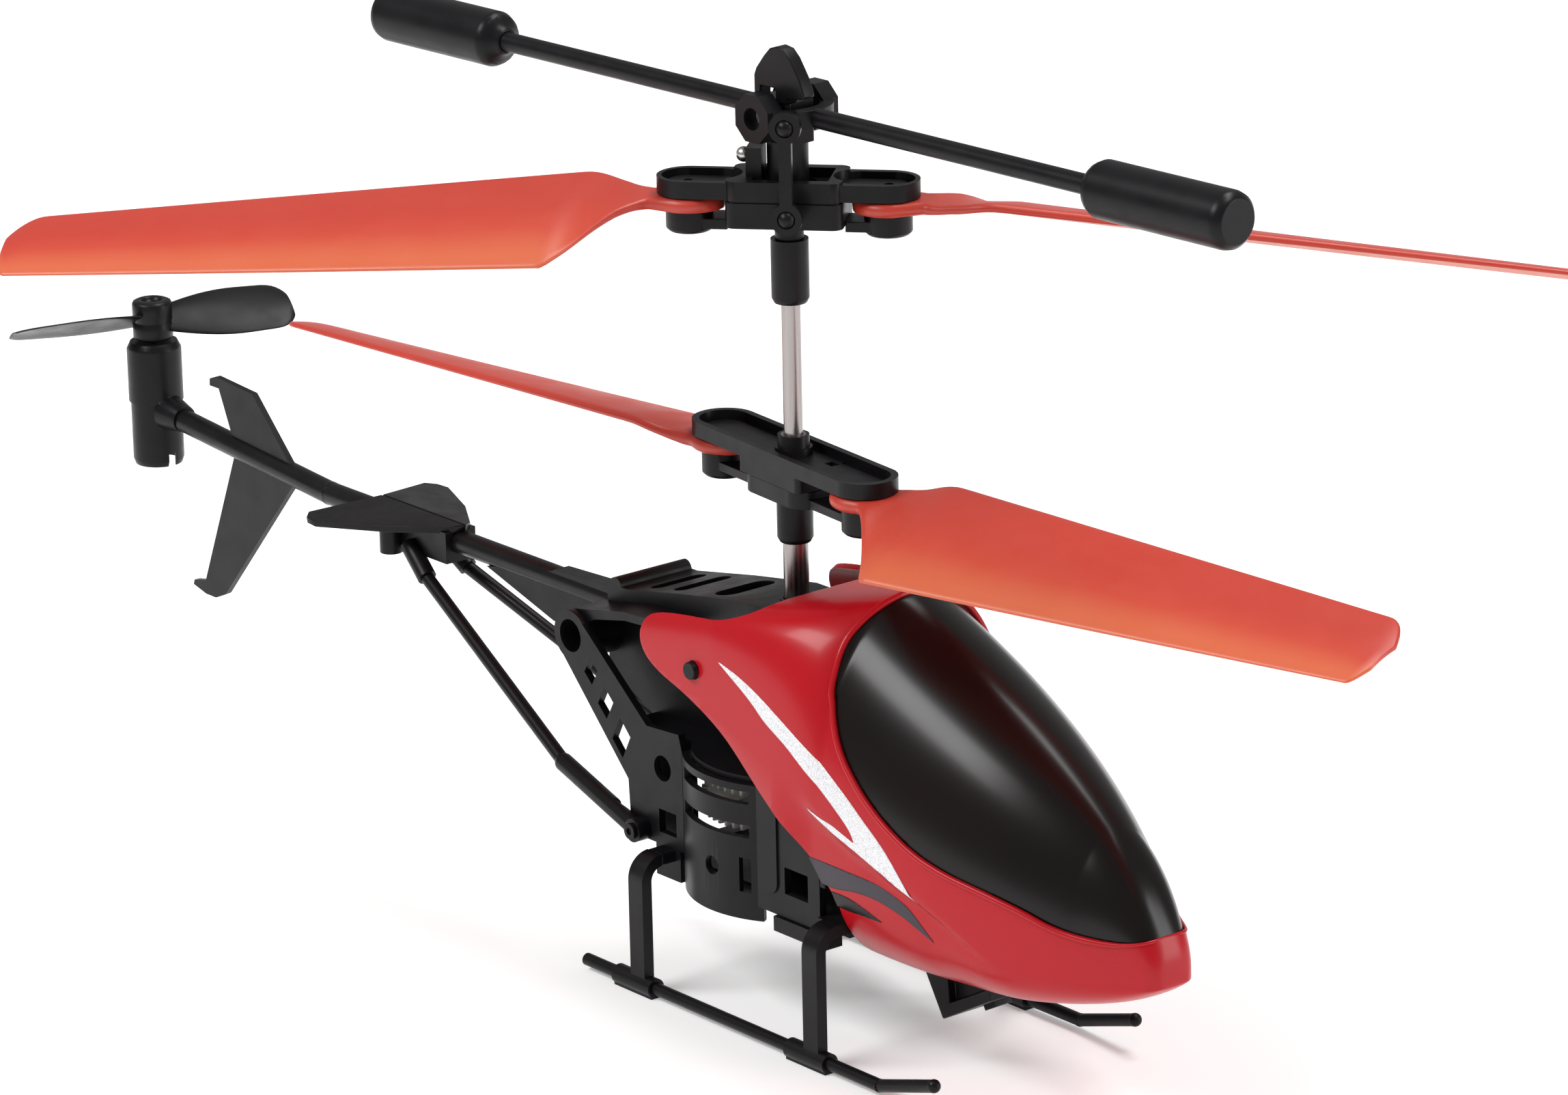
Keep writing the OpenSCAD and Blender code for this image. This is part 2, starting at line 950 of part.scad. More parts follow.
module battery_tray() {
    color(black)
        difference() {
            union() {
                translate([spine_front, -8.8, 21.6])
                    cube([32.6, 17.6, 1.6]);
                translate([50.2, -8.8, 21.6])
                    cube([1.4, 17.6, 5]);
                translate([spine_front, -front_plate_y - 1, 21.6])
                    cube([1, 2 * front_plate_y + 2, 8]);
                for (x = [29.4, 37.6])
                    translate([x, -3.4, 16.4])
                        cube([1.2, 6.8, 5.3]);
            }
            for (x = [24:8:44])
                translate([x, -6, 20])
                    cube([2.6, 12, 4]);
        }
}

module circuit_board() {
    color("#1d5a36")
        difference() {
            translate([22, -8, 32])
                cube([26, 16, 1]);
            for (x = [24, 46], y = [-6, 6])
                translate([x, y, 30])
                    cylinder(r = 0.7, h = 5);
        }
}

module board_chips() {
    color("#26262a") {
        translate([28, -3, 33])
            cube([6, 6, 1]);
        translate([38, -5, 33])
            cube([4, 3, 1]);
        translate([38, 2, 33])
            cube([4, 3, 1]);
        translate([44, 0, 33])
            cylinder(r = 1.6, h = 3);
        for (x = [26, 46])
            translate([x, -1, 29.8])
                cube([1.2, 2, 2.2]);
    }
}

// Wedge under the belly with the charging socket and the power switch
module switch_housing() {
    color(black)
        difference() {
            upright(-belly_half, belly_half)
                polygon([
                    [28.6, 16.4], [28.6, 11.2], [31.6, 6.2], [40.4, 11], [40.4, 16.4]
                ]);
            translate([32.7, belly_half - socket_l, 9.4])
                rotate([-90, 0, 0])
                    cylinder(r = socket_r, h = 10);
            upright(-belly_half - 1, -belly_half + 1.2)
                polygon([[32.2, 15.4], [32.8, 8.6], [39.5, 12.2], [39.5, 15.4]]);
            on_belly()
                translate([4.2, -1.4, -1])
                    cube([4.6, 2.8, 3.2]);
        }
}

// The wedge's slanted underside, with X running up it to the front
module on_belly() {
    translate([31.6, 0, 6.2])
        rotate([0, -belly_slope, 0])
            children();
}

module switch_slider() {
    color(black)
        on_belly()
            translate([4.35, -1.3, -0.7])
                cube([2.2, 2.6, 2.7]);
}

// ----------------------------------------------------------- lower rotor

module outer_shaft() {
    color(steel)
        difference() {
            translate([0, 0, 28])
                cylinder(r = tube_r, h = 43.4);
            translate([0, 0, 20])
                cylinder(r = tube_bore, h = 60);
        }
}

module outer_gear() {
    color("#e4e2dc")
        spur_gear(outer_gear_z, tube_r, outer_gear_z - 0.6, 2.6);
}

module lower_hub() {
    floor_z = lower_z + root_t / 2 + hub_gap;
    color(black)
        rotate([0, 0, lower_hub_turn])
            difference() {
                union() {
                    difference() {
                        translate([0, 0, floor_z])
                            round_bar(lower_pin_x, 4, 1.9);
                        translate([0, 0, floor_z + 0.9])
                            round_bar(lower_pin_x, 3.1, 5);
                        translate([0, 0, floor_z + 0.6])
                            difference() {
                                round_bar(lower_pin_x, 3.1, 2);
                                translate([0, 0, -1])
                                    round_bar(lower_pin_x, 2.3, 4);
                            }
                    }
                    translate([0, 0, lower_z - 1])
                        rounded_block(13, 7.8, 2.8, 0.8);
                    translate([0, 0, floor_z])
                        cylinder(r = tube_r + 0.75, h = 1.9);
                    translate([0, 0, floor_z])
                        cylinder(r = tube_r + 0.4, h = 3.4);
                }
                cylinder(r = tube_r, h = 90);
                translate([5.6, 0.6, floor_z - 1])
                    cube([1.6, 1.2, 4]);
            }
}

// Lower arm with the pin bosses and the long collar
module lower_hub_arm() {
    color(black)
        difference() {
            union() {
                rotate([0, 0, lower_hub_turn]) {
                    translate([0, 0, lower_z - 3.1])
                        round_bar(lower_pin_x, 2.2, 1.1);
                    translate([0, 0, lower_z - 3.3])
                        rounded_block(13, 7.4, 2.2, 2.6);
                    for (s = [-1, 1]) {
                        translate([s * lower_pin_x, 0, lower_z - 3.9])
                            cylinder(r = 2.9, h = 3.9 - root_t / 2 - hub_gap);
                        translate([s * lower_pin_x, 0, lower_z - 4.3])
                            cylinder(r1 = 2.5, r2 = 2.9, h = 0.4);
                        translate([s * lower_pin_x, 0, lower_z - 2.3])
                            cylinder(r = pin_r, h = 2.3 + root_t / 2 + hub_gap);
                    }
                }
                translate([0, 0, 58.5])
                    cylinder(r = 2.22, h = lower_z - 3 - 58.5);
                translate([0, 0, 57.9])
                    cylinder(r1 = 1.9, r2 = 2.22, h = 0.6);
            }
            cylinder(r = tube_r, h = 90);
        }
}

// ------------------------------------------------------------ main blades

// Leading and trailing edge of a blade at radius r from the mast
function blade_lead(r) =
    r < 25
        ? 3.6 + 2.7 * pow(sin(90 * max(r - 17, 0) / 8), 2)
        : r > rotor_r - 4.2
            ? 6.3 - 1.5 * (r - 25) / (rotor_r - 29) - 4.2 * pow((r - rotor_r + 4.2) / 4.2, 2.2)
            : 6.3 - 1.5 * (r - 25) / (rotor_r - 29);
function blade_trail(r) =
    r < 27.5
        ? -3.9 - 11 * pow(max(r - 17.5, 0) / 10, 1.25)
        : r > rotor_r - 1.2
            ? -14.9 + 7.5 * (r - 27.5) / (rotor_r - 28) + 3 * pow((r - rotor_r + 1.2) / 1.2, 2)
            : -14.9 + 7.5 * (r - 27.5) / (rotor_r - 28);
function blade_pitch(r) =
    r < 26 ? 16.5 * pow(sin(90 * max(r - 16, 0) / 10), 2) : 16.5 + 2.5 * (r - 26) / 71;

// One cross-section: a thin cambered strip with a rounded nose
function blade_ring(r, root_x, sag, share) =
    let (
        lead = share * blade_lead(r),
        trail = share * blade_trail(r),
        pitch = blade_pitch(r),
        thick = r < 20 ? 1.5 : max(1.1 - 0.5 * (r - 20) / 77, 0.6),
        camber = 0.045 * (lead - trail) * min(max((r - 18) / 10, 0), 1)
    )
    [
        for (k = [[0, 0], [0.08, -1], [0.35, -1], [0.7, -1], [1, 0], [0.7, 1], [0.35, 1], [0.08, 1]])
            let (
                v = lead + (trail - lead) * k[0],
                w = camber * 4 * k[0] * (1 - k[0]) + k[1] * thick / 2 * (1 - 0.5 * k[0])
            )
            [
                r - root_x,
                v * cos(pitch) - w * sin(pitch),
                v * sin(pitch) + w * cos(pitch) - sag * max(r - 20, 0)
            ]
    ];

// A blade whose root pin is at the origin; it points along +X
module blade(root_x, sag, hand) {
    radii = [
        18.5, 20, 22, 24, 26, 27.5, 32, 40, 50, 60, 70, 80, 88,
        rotor_r - 4.2, rotor_r - 2.8, rotor_r - 1.2, rotor_r - 0.4, rotor_r
    ];
    rings = [
        blade_ring(root_x + 1.7, root_x, sag, 0.78),
        for (r = radii) blade_ring(r, root_x, sag, 1)
    ];
    n = 8;
    last = len(rings) - 1;
    difference() {
        union() {
            mirror([0, hand > 0 ? 0 : 1, 0])
                polyhedron(
                    points = [for (ring = rings, p = ring) p],
                    faces = concat(
                        [[for (k = [n - 1:-1:0]) k]],
                        [for (i = [0:last - 1], k = [0:n - 1])
                            let (m = (k + 1) % n)
                            each [
                                [i * n + k, i * n + m, (i + 1) * n + m],
                                [i * n + k, (i + 1) * n + m, (i + 1) * n + k]
                            ]],
                        [[for (k = [0:n - 1]) last * n + k]]
                    )
                );
            translate([0, 0, -root_t / 2])
                cylinder(r = eye_r, h = root_t);
        }
        translate([0, 0, -5])
            cylinder(r = pin_r + pin_fit, h = 10);
    }
}

module lower_blade(side, lag) {
    color(orange)
        rotate([0, 0, lower_hub_turn + side])
            translate([lower_pin_x, 0, lower_z])
                rotate([0, 0, lag])
                    blade(lower_pin_x, 0.015, 1);
}

module lower_blade_a() {
    lower_blade(0, blade_lag);
}

module lower_blade_b() {
    lower_blade(180, rear_blade_lag);
}

module upper_blade(side) {
    color(orange)
        rotate([0, 0, upper_hub_turn + side])
            translate([upper_pin_x, 0, upper_z])
                blade(upper_pin_x, 0.095, -1);
}

module upper_blade_a() {
    upper_blade(0);
}

module upper_blade_b() {
    upper_blade(180);
}

// ------------------------------------------------------------ upper rotor

module inner_shaft() {
    color(steel)
        translate([0, 0, 17.3])
            cylinder(r = shaft_r, h = 91.2);
}

module inner_gear() {
    color("#e4e2dc")
        spur_gear(inner_gear_z, shaft_r, inner_gear_z - 1.6, 3.4);
}

// Head block clamped on the inner shaft, with its long collar
module rotor_head() {
    color(black)
        difference() {
            union() {
                translate([0, 0, 88.5])
                    cylinder(r = 2.3, h = 7.3);
                translate([0, 0, 87.9])
                    cylinder(r1 = 2, r2 = 2.3, h = 0.6);
                translate([0, 0, 95.6])
                    cylinder(r = 1.75, h = 3);
                translate([0, 0, 98])
                    cylinder(r = 2.5, h = 10);
                rotate([0, 0, flybar_turn])
                    translate([0, 0, 107.8])
                        rounded_block(5.2, 4.4, head_top - 107.8, 0.5);
            }
            translate([0, 0, 17.3])
                cylinder(r = shaft_r, h = 91.2);
            rotate([0, 0, flybar_turn])
                translate([0, 0, flybar_z])
                    rotate([90, 0, 0])
                        translate([0, 0, -10])
                            cylinder(r = flybar_pin_r, h = 20);
            rotate([0, 0, upper_hub_turn])
                translate([-10, 0, upper_z])
                    rotate([0, 90, 0])
                        cylinder(r = holder_pin_r, h = 20);
        }
}

// Stop fin that arches over the flybar
module head_cap() {
    color(black)
        rotate([0, 0, flybar_turn])
            upright(-2.4, -0.6)
                polygon([
                    [-3.1, head_top], [-3.1, 115.8], [-2.7, 116.7], [-1.3, 118.4],
                    [-0.3, 119.4], [0.9, 119.8], [2.2, 119.6], [3.3, 118.6],
                    [4.8, 116.4], [5.6, 114.6], [5.6, 114.1], [3.8, 113.8],
                    [2.6, 113.6], [2.6, head_top], [0.6, head_top], [0.6, 114.6],
                    [-2, 114.6], [-2, head_top]
                ]);
}

module flybar_pin() {
    color(steel)
        rotate([0, 0, flybar_turn])
            translate([0, 4.3, flybar_z])
                rotate([90, 0, 0])
                    cylinder(r = flybar_pin_r, h = 8.6);
}

module holder_pin() {
    color(steel)
        rotate([0, 0, upper_hub_turn])
            difference() {
                translate([-6.6, 0, upper_z])
                    rotate([0, 90, 0])
                        cylinder(r = holder_pin_r, h = 13.2);
                cylinder(r = shaft_r, h = 120);
            }
}

// Upper blade holder: two rimmed trays on a split central block
module blade_holder() {
    plate_z = upper_z + root_t / 2 + hub_gap;
    color(black)
        rotate([0, 0, upper_hub_turn]) {
            difference() {
                union() {
                    translate([0, 0, plate_z])
                        round_bar(upper_pin_x, 3.9, 2.1);
                    translate([0, 0, upper_z - 2.3])
                        rounded_block(14.2, 9.4, 3.1, 1.3);
                    translate([0, 0, upper_z + 0.7])
                        rounded_block(13.7, 8.9, 0.4, 1.1);
                    translate([0, 0, upper_z + 1])
                        rounded_block(14, 9.2, 2.4, 1.3);
                    for (s = [-1, 1]) {
                        translate([s * upper_pin_x, 0, plate_z - 4])
                            cylinder(r = pin_r, h = 5);
                        translate([s * ball_shift, s * -4.6, upper_z])
                            rotate([s * 90, 0, 0])
                                cylinder(r = 0.6, h = ball_x - 4.6);
                        translate([s * ball_shift, s * -ball_x, upper_z])
                            sphere(r = ball_r);
                    }
                }
                for (s = [-1, 1]) {
                    translate([s * 10.4, 0, plate_z + 1.4])
                        round_bar(1.9, 3, 4);
                    translate([s * 10.4, 0, plate_z + 0.9])
                        difference() {
                            round_bar(1.9, 3, 2);
                            translate([0, 0, -1])
                                round_bar(1.9, 2.2, 4);
                        }
                    translate([s * 12.1, 0, plate_z + 1])
                        cylinder(r = 0.55, h = 2);
                }
                cylinder(r = 3.6, h = 150);
                translate([-3.9, -3.2, plate_z + 1.2])
                    cube([9.2, 6.4, 4]);
                translate([-6.7, 0, upper_z])
                    rotate([0, 90, 0])
                        cylinder(r = holder_pin_r + 0.06, h = 13.4);
            }
            // Lug that the clamp screw goes through
            translate([-lug_x, -1.9, plate_z + 0.4])
                cube([lug_t, 3.8, 107.2 - plate_z - 0.4]);
        }
}

// Clamp screw in the lug of the blade holder
module holder_screw() {
    color(steel)
        rotate([0, 0, upper_hub_turn])
            translate([-lug_x - 0.5, 0, 106])
                intersection() {
                    sphere(r = 0.95);
                    translate([-1, -1, -1])
                        cube([1.5, 2, 2]);
                }
}

module holder_arm() {
    color(black)
        rotate([0, 0, upper_hub_turn])
            difference() {
                union() {
                    for (s = [-1, 1]) {
                        translate([s > 0 ? 7.1 : -upper_pin_x, -2.2, upper_z - 3.1])
                            cube([upper_pin_x - 7.1, 4.4, 1.3]);
                        translate([s * upper_pin_x, 0, upper_z - 3.3])
                            cylinder(r = 2.9, h = 3.3 - root_t / 2 - hub_gap);
                        translate([s * upper_pin_x, 0, upper_z - 3.7])
                            cylinder(r1 = 2.5, r2 = 2.9, h = 0.4);
                    }
                }
                for (s = [-1, 1])
                    translate([s * upper_pin_x, 0, upper_z - 3])
                        cylinder(r = pin_r, h = 5);
            }
}

// Flybar frame, its two rods and the ball stalks for the links
module flybar() {
    color(black)
        rotate([0, 0, flybar_turn])
            difference() {
                union() {
                    translate([0, 0, flybar_z - 1.1])
                        difference() {
                            cylinder(r = 5.6, h = 2.2);
                            translate([0, 0, -1])
                                cylinder(r = 4, h = 5);
                        }
                    for (s = [-1, 1]) {
                        translate([0, s * 3.3, flybar_z])
                            rotate([s * -90, 0, 0])
                                rotate([0, 0, 22.5])
                                    cylinder(r = 3.1, h = 2.4, $fn = 8);
                        rod([s * 5.2, 0, flybar_z], [s * 60, 0, flybar_z], 2.45);
                    }
                    rotate([0, 0, upper_hub_turn - flybar_turn])
                        for (s = [-1, 1])
                            translate([s * ball_shift, 0, flybar_z]) {
                                rod([0, s * -5.2, 0], [0, s * -ball_x, 0], 1.2);
                                translate([0, s * -ball_x, 0])
                                    sphere(r = ball_r);
                            }
                }
                translate([0, 20, flybar_z])
                    rotate([90, 0, 0])
                        cylinder(r = flybar_pin_r + pin_fit, h = 40);
                for (s = [-1, 1])
                    translate([0, s * 4.5, flybar_z])
                        rotate([s * -90, 0, 0])
                            cylinder(r = 1.35, h = 5);
            }
}

module flybar_weights() {
    inner = 52.4;
    color(black)
        rotate([0, 0, flybar_turn])
            for (s = [0, 180])
                rotate([0, 0, s])
                    translate([0, 0, flybar_z])
                        rotate([0, 90, 0])
                            difference() {
                                rotate_extrude()
                                    polygon([
                                        [0, inner - 1.4], [1.5, inner - 1.4],
                                        [2, inner - 0.7], [3.1, inner],
                                        [3.5, inner + 0.9], [3.5, flybar_r - 1.4],
                                        [3.3, flybar_r - 0.6], [2.7, flybar_r], [0, flybar_r]
                                    ]);
                                cylinder(d = 2.45, h = 60);
                            }
}

// Link with a snap ring at each end
module link(side) {
    color(black)
        rotate([0, 0, upper_hub_turn - 90 + side])
            translate([0, ball_shift, 0])
                difference() {
                    union() {
                        for (z = [upper_z, flybar_z])
                            translate([ball_x - 0.8, 0, z])
                                rotate([0, 90, 0])
                                    cylinder(r = 1.9, h = 1.3);
                        translate([ball_x - 0.6, -0.75, upper_z + 1.6])
                            cube([1.1, 1.5, flybar_z - upper_z - 3.2]);
                    }
                    for (z = [upper_z, flybar_z])
                        translate([ball_x, 0, z])
                            sphere(r = ball_r + link_gap);
                    for (z = [upper_z, flybar_z])
                        translate([ball_x - 3, 0, z])
                            rotate([0, 90, 0])
                                cylinder(r = 0.9, h = 3);
                    translate([ball_x - 3, -0.9, flybar_z])
                        cube([3, 1.8, 0.6]);
                }
}

module link_right() {
    link(0);
}

module link_left() {
    link(180);
}

// ---------------------------------------------------------------- drawing

main_frame();
side_plate_right();
side_plate_left();
lower_deck();
canopy();
windshield();
canopy_pegs();
tail_boom();
boom_socket();
stabilizer();
stabilizer_clamp();
tail_fin();
strut_right();
strut_left();
strut_screws();
tail_motor_housing();
tail_motor();
skid_right();
skid_left();
rear_leg_right();
rear_leg_left();
front_leg_right();
front_leg_left();
rear_cross_bar();
front_cross_bar();
upper_bearing();
lower_bearing();
front_motor();
rear_motor();
battery();
battery_tray();
circuit_board();
board_chips();
switch_housing();
switch_slider();
frame_screws();
outer_shaft();
outer_gear();
lower_hub();
lower_hub_arm();
lower_blade_a();
lower_blade_b();
inner_shaft();
inner_gear();
rotor_head();
head_cap();
flybar_pin();
holder_pin();
blade_holder();
holder_arm();
holder_screw();
upper_blade_a();
upper_blade_b();
flybar();
flybar_weights();
link_right();
link_left();
front_pinion();
rear_pinion();
tail_rotor();
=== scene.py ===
"""Looks of the remote control helicopter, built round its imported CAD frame.

X points to the nose, Y to the helicopter's left and Z up. The CAD is in metres.
Shapes are worked out in millimetres and scaled as their meshes are made.
"""

import json
from math import cos, pi, radians, sin, sqrt

import bmesh
import bpy
from mathutils import Matrix, Vector

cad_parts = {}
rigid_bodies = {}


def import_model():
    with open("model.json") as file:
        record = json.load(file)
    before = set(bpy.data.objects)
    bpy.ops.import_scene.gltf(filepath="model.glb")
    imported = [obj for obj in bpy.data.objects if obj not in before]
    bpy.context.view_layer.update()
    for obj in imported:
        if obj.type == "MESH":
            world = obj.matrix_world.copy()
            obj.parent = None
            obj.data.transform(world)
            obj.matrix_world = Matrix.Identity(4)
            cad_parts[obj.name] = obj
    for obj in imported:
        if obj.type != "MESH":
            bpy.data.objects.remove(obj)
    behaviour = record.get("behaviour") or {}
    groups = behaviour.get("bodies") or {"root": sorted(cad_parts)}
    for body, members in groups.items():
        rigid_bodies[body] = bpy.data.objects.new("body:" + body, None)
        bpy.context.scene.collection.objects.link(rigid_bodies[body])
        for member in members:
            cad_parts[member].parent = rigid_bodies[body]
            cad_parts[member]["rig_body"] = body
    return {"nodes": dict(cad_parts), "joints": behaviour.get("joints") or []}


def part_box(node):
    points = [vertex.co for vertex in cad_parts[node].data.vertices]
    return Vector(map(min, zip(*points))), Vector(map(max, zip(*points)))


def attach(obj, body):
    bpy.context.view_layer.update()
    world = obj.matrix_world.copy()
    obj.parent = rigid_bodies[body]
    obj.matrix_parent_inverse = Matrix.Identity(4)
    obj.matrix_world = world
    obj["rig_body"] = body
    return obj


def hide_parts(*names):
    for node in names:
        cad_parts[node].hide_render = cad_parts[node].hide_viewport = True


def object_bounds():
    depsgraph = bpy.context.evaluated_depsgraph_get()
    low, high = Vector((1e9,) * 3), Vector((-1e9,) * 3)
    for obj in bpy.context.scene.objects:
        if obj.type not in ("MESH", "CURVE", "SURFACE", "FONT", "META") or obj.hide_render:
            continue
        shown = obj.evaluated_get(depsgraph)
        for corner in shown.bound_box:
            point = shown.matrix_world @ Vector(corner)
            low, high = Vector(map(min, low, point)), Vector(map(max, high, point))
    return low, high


MM = 0.001
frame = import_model()
cad_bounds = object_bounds()
joints = {joint["name"]: joint for joint in frame["joints"]}


def box_mm(node):
    """The lowest and highest corners of a CAD node, in millimetres."""
    low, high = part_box(node)
    return low / MM, high / MM


# ------------------------------------------------------------ camera, stage

# The photograph's viewpoint: azimuth, elevation and roll, then the place in metres.
VIEW_ANGLES = (radians(51.134), radians(17.643), radians(-1.202))
VIEW_PLACE = (0.643442, -0.520389, 0.320233)
LENS_MM = 164.81
SENSOR_MM = 36
NEAREST = 0.01
FLOOR_REACH = 8.0
SURROUND_STRENGTH = 0.31
AIM_HEIGHT = 0.05
# Name, place and size in metres, and power in watts of each light.
LIGHTS = (
    ("key", (-0.25, -0.8, 0.95), (0.7, 0.4), 9.8),
    ("top", (0.1, 0.35, 1.1), (1.0, 0.35), 9.0),
    ("side", (1.0, 0.75, 0.35), (0.25, 0.9), 4.5),
)


def add_camera():
    """The photograph's viewpoint: a long lens, right of the nose and slightly above."""
    azimuth, elevation, roll = VIEW_ANGLES
    back = Vector((
        sin(azimuth) * cos(elevation),
        -cos(azimuth) * cos(elevation),
        sin(elevation),
    ))
    level = Vector((cos(azimuth), sin(azimuth), 0))
    above = back.cross(level)
    right = level * cos(roll) + above * sin(roll)
    up = above * cos(roll) - level * sin(roll)
    place = Vector(VIEW_PLACE)
    data = bpy.data.cameras.new("camera")
    data.lens = LENS_MM
    data.sensor_width = SENSOR_MM
    data.clip_start = NEAREST
    camera = bpy.data.objects.new("camera", data)
    bpy.context.collection.objects.link(camera)
    camera.matrix_world = Matrix((
        (right.x, up.x, back.x, place.x),
        (right.y, up.y, back.y, place.y),
        (right.z, up.z, back.z, place.z),
        (0, 0, 0, 1),
    ))
    bpy.context.scene.camera = camera


def add_light(name, place, target, size, power):
    """A soft white rectangular light at `place` that shines on `target`."""
    data = bpy.data.lights.new(name, "AREA")
    data.shape = "RECTANGLE"
    data.size, data.size_y = size
    data.energy = power
    light = bpy.data.objects.new(name, data)
    bpy.context.collection.objects.link(light)
    light.location = place
    light.rotation_euler = (Vector(place) - Vector(target)).to_track_quat("Z", "Y").to_euler()


def add_floor():
    """A wide pale floor under the skids."""
    mesh = bpy.data.meshes.new("floor")
    corners = [
        (FLOOR_REACH * x, FLOOR_REACH * y, cad_bounds[0][2])
        for x, y in ((-1, -1), (1, -1), (1, 1), (-1, 1))
    ]
    mesh.from_pydata(corners, [], [(0, 1, 2, 3)])
    floor = bpy.data.objects.new("floor", mesh)
    bpy.context.collection.objects.link(floor)
    mesh.materials.append(floor_material())


def add_surround():
    """An even white surround."""
    world = bpy.data.worlds.new("studio")
    bpy.context.scene.world = world
    world.use_nodes = True
    background = world.node_tree.nodes["Background"]
    background.inputs["Color"].default_value = (1, 1, 1, 1)
    background.inputs["Strength"].default_value = SURROUND_STRENGTH


def add_stage():
    """The floor, the surround and soft studio lights aimed at the helicopter."""
    add_floor()
    add_surround()
    low, high = cad_bounds
    middle = Vector(((low[0] + high[0]) / 2, 0, AIM_HEIGHT))
    for name, place, size, power in LIGHTS:
        add_light(name, place, middle, size, power)
    bpy.context.scene.view_settings.view_transform = "Standard"


# ---------------------------------------------------------------- materials

# Depths of relief, in metres.
PEEL_DEPTH = 7e-7
METAL_MARKS = 2e-6
BLADE_GRAIN = 3e-6
FLAKE_DEPTH = 6e-6
TRACK_DEPTH = 1e-5
FOIL_DEPTH = 6e-5
# How far roughness strays below and above its middle.
SMOOTHER = 0.06
ROUGHER = 0.08
COAT_ROUGHNESS = 0.14
BLADE_CLOUD = 0.12
FLOOR_GLOW = 0.26
# Colours at places from 0 to 1.
# The blade's own orange-red, lightening at the last stops to a painted glow of light shining through
# the thin plastic.
BLADE_COLOURS_TO_GLOW = [
    (0.0, (0.46, 0.037, 0.021)),
    (0.5, (0.51, 0.056, 0.028)),
    (1.0, (0.57, 0.12, 0.050)),
]
SILVER_COLOURS = [
    (0.3, (0.52, 0.52, 0.54)),
    (0.5, (0.74, 0.74, 0.76)),
    (0.72, (0.95, 0.95, 0.97)),
]
# The foil's colours from the crinkles' hollows to their ridges; the darker hollows are painted shade.
FOIL_COLOURS_SHADED = [(0.0, (0.5, 0.52, 0.55)), (0.8, (0.72, 0.74, 0.77))]
FLOOR_COLOURS = [(0.3, (0.92, 0.92, 0.92)), (0.7, (0.94, 0.94, 0.94))]


def new_material(name):
    """An empty material with its node tree and shader."""
    made = bpy.data.materials.new(name)
    made.use_nodes = True
    return made, made.node_tree, made.node_tree.nodes["Principled BSDF"]


def texture(tree, kind, scale, stretch=(1, 1, 1)):
    """A texture in the piece's own coordinates, `scale` features to the metre."""
    coords = tree.nodes.new("ShaderNodeTexCoord")
    mapping = tree.nodes.new("ShaderNodeMapping")
    node = tree.nodes.new(kind)
    mapping.inputs["Scale"].default_value = stretch
    node.inputs["Scale"].default_value = scale
    tree.links.new(coords.outputs["Object"], mapping.inputs["Vector"])
    tree.links.new(mapping.outputs["Vector"], node.inputs["Vector"])
    return node


def noise(tree, scale, detail, stretch=(1, 1, 1)):
    """The 0 to 1 value of soft noise that has `detail` finer layers in it."""
    node = texture(tree, "ShaderNodeTexNoise", scale, stretch)
    node.inputs["Detail"].default_value = detail
    return node.outputs["Fac"]


def spread(tree, source, low, high, target, span=(0.3, 0.7)):
    """Drive a socket from a 0 to 1 value, between two numbers."""
    ramp = tree.nodes.new("ShaderNodeMapRange")
    ramp.inputs["From Min"].default_value, ramp.inputs["From Max"].default_value = span
    ramp.inputs["To Min"].default_value, ramp.inputs["To Max"].default_value = low, high
    tree.links.new(source, ramp.inputs["Value"])
    tree.links.new(ramp.outputs["Result"], target)


def blend_colours(tree, factor, stops, target):
    """Drive a colour socket from a 0 to 1 value, through colours at stops."""
    ramp = tree.nodes.new("ShaderNodeValToRGB")
    while len(ramp.color_ramp.elements) < len(stops):
        ramp.color_ramp.elements.new(0.5)
    for element, (place, colour) in zip(ramp.color_ramp.elements, stops):
        element.position = place
        element.color = (*colour, 1)
    tree.links.new(factor, ramp.inputs["Fac"])
    tree.links.new(ramp.outputs["Color"], target)


def relief(tree, shader, height, depth):
    """Bump from a height value, `depth` metres from low to high."""
    bump = tree.nodes.new("ShaderNodeBump")
    bump.inputs["Strength"].default_value = 1.0
    bump.inputs["Distance"].default_value = depth
    tree.links.new(height, bump.inputs["Height"])
    tree.links.new(bump.outputs["Normal"], shader.inputs["Normal"])


def shade(colour, factor):
    """A colour made lighter or darker."""
    return tuple(min(1.0, channel * factor) for channel in colour)


def moulded_plastic(name, colour, rough, grain=5000, depth=6e-6, mottle=0.16, specular=0.5):
    """Injection-moulded plastic: a fine spark-eroded grain and faint flow marks."""
    made, tree, shader = new_material(name)
    flow = noise(tree, scale=90, detail=4)
    stops = [(0.3, shade(colour, 1 - mottle)), (0.7, shade(colour, 1 + mottle))]
    blend_colours(tree, flow, stops, shader.inputs["Base Color"])
    smear = noise(tree, scale=260, detail=6)
    spread(tree, smear, rough - SMOOTHER, rough + ROUGHER, shader.inputs["Roughness"])
    relief(tree, shader, noise(tree, scale=grain, detail=3), depth)
    shader.inputs["Specular IOR Level"].default_value = specular
    return made


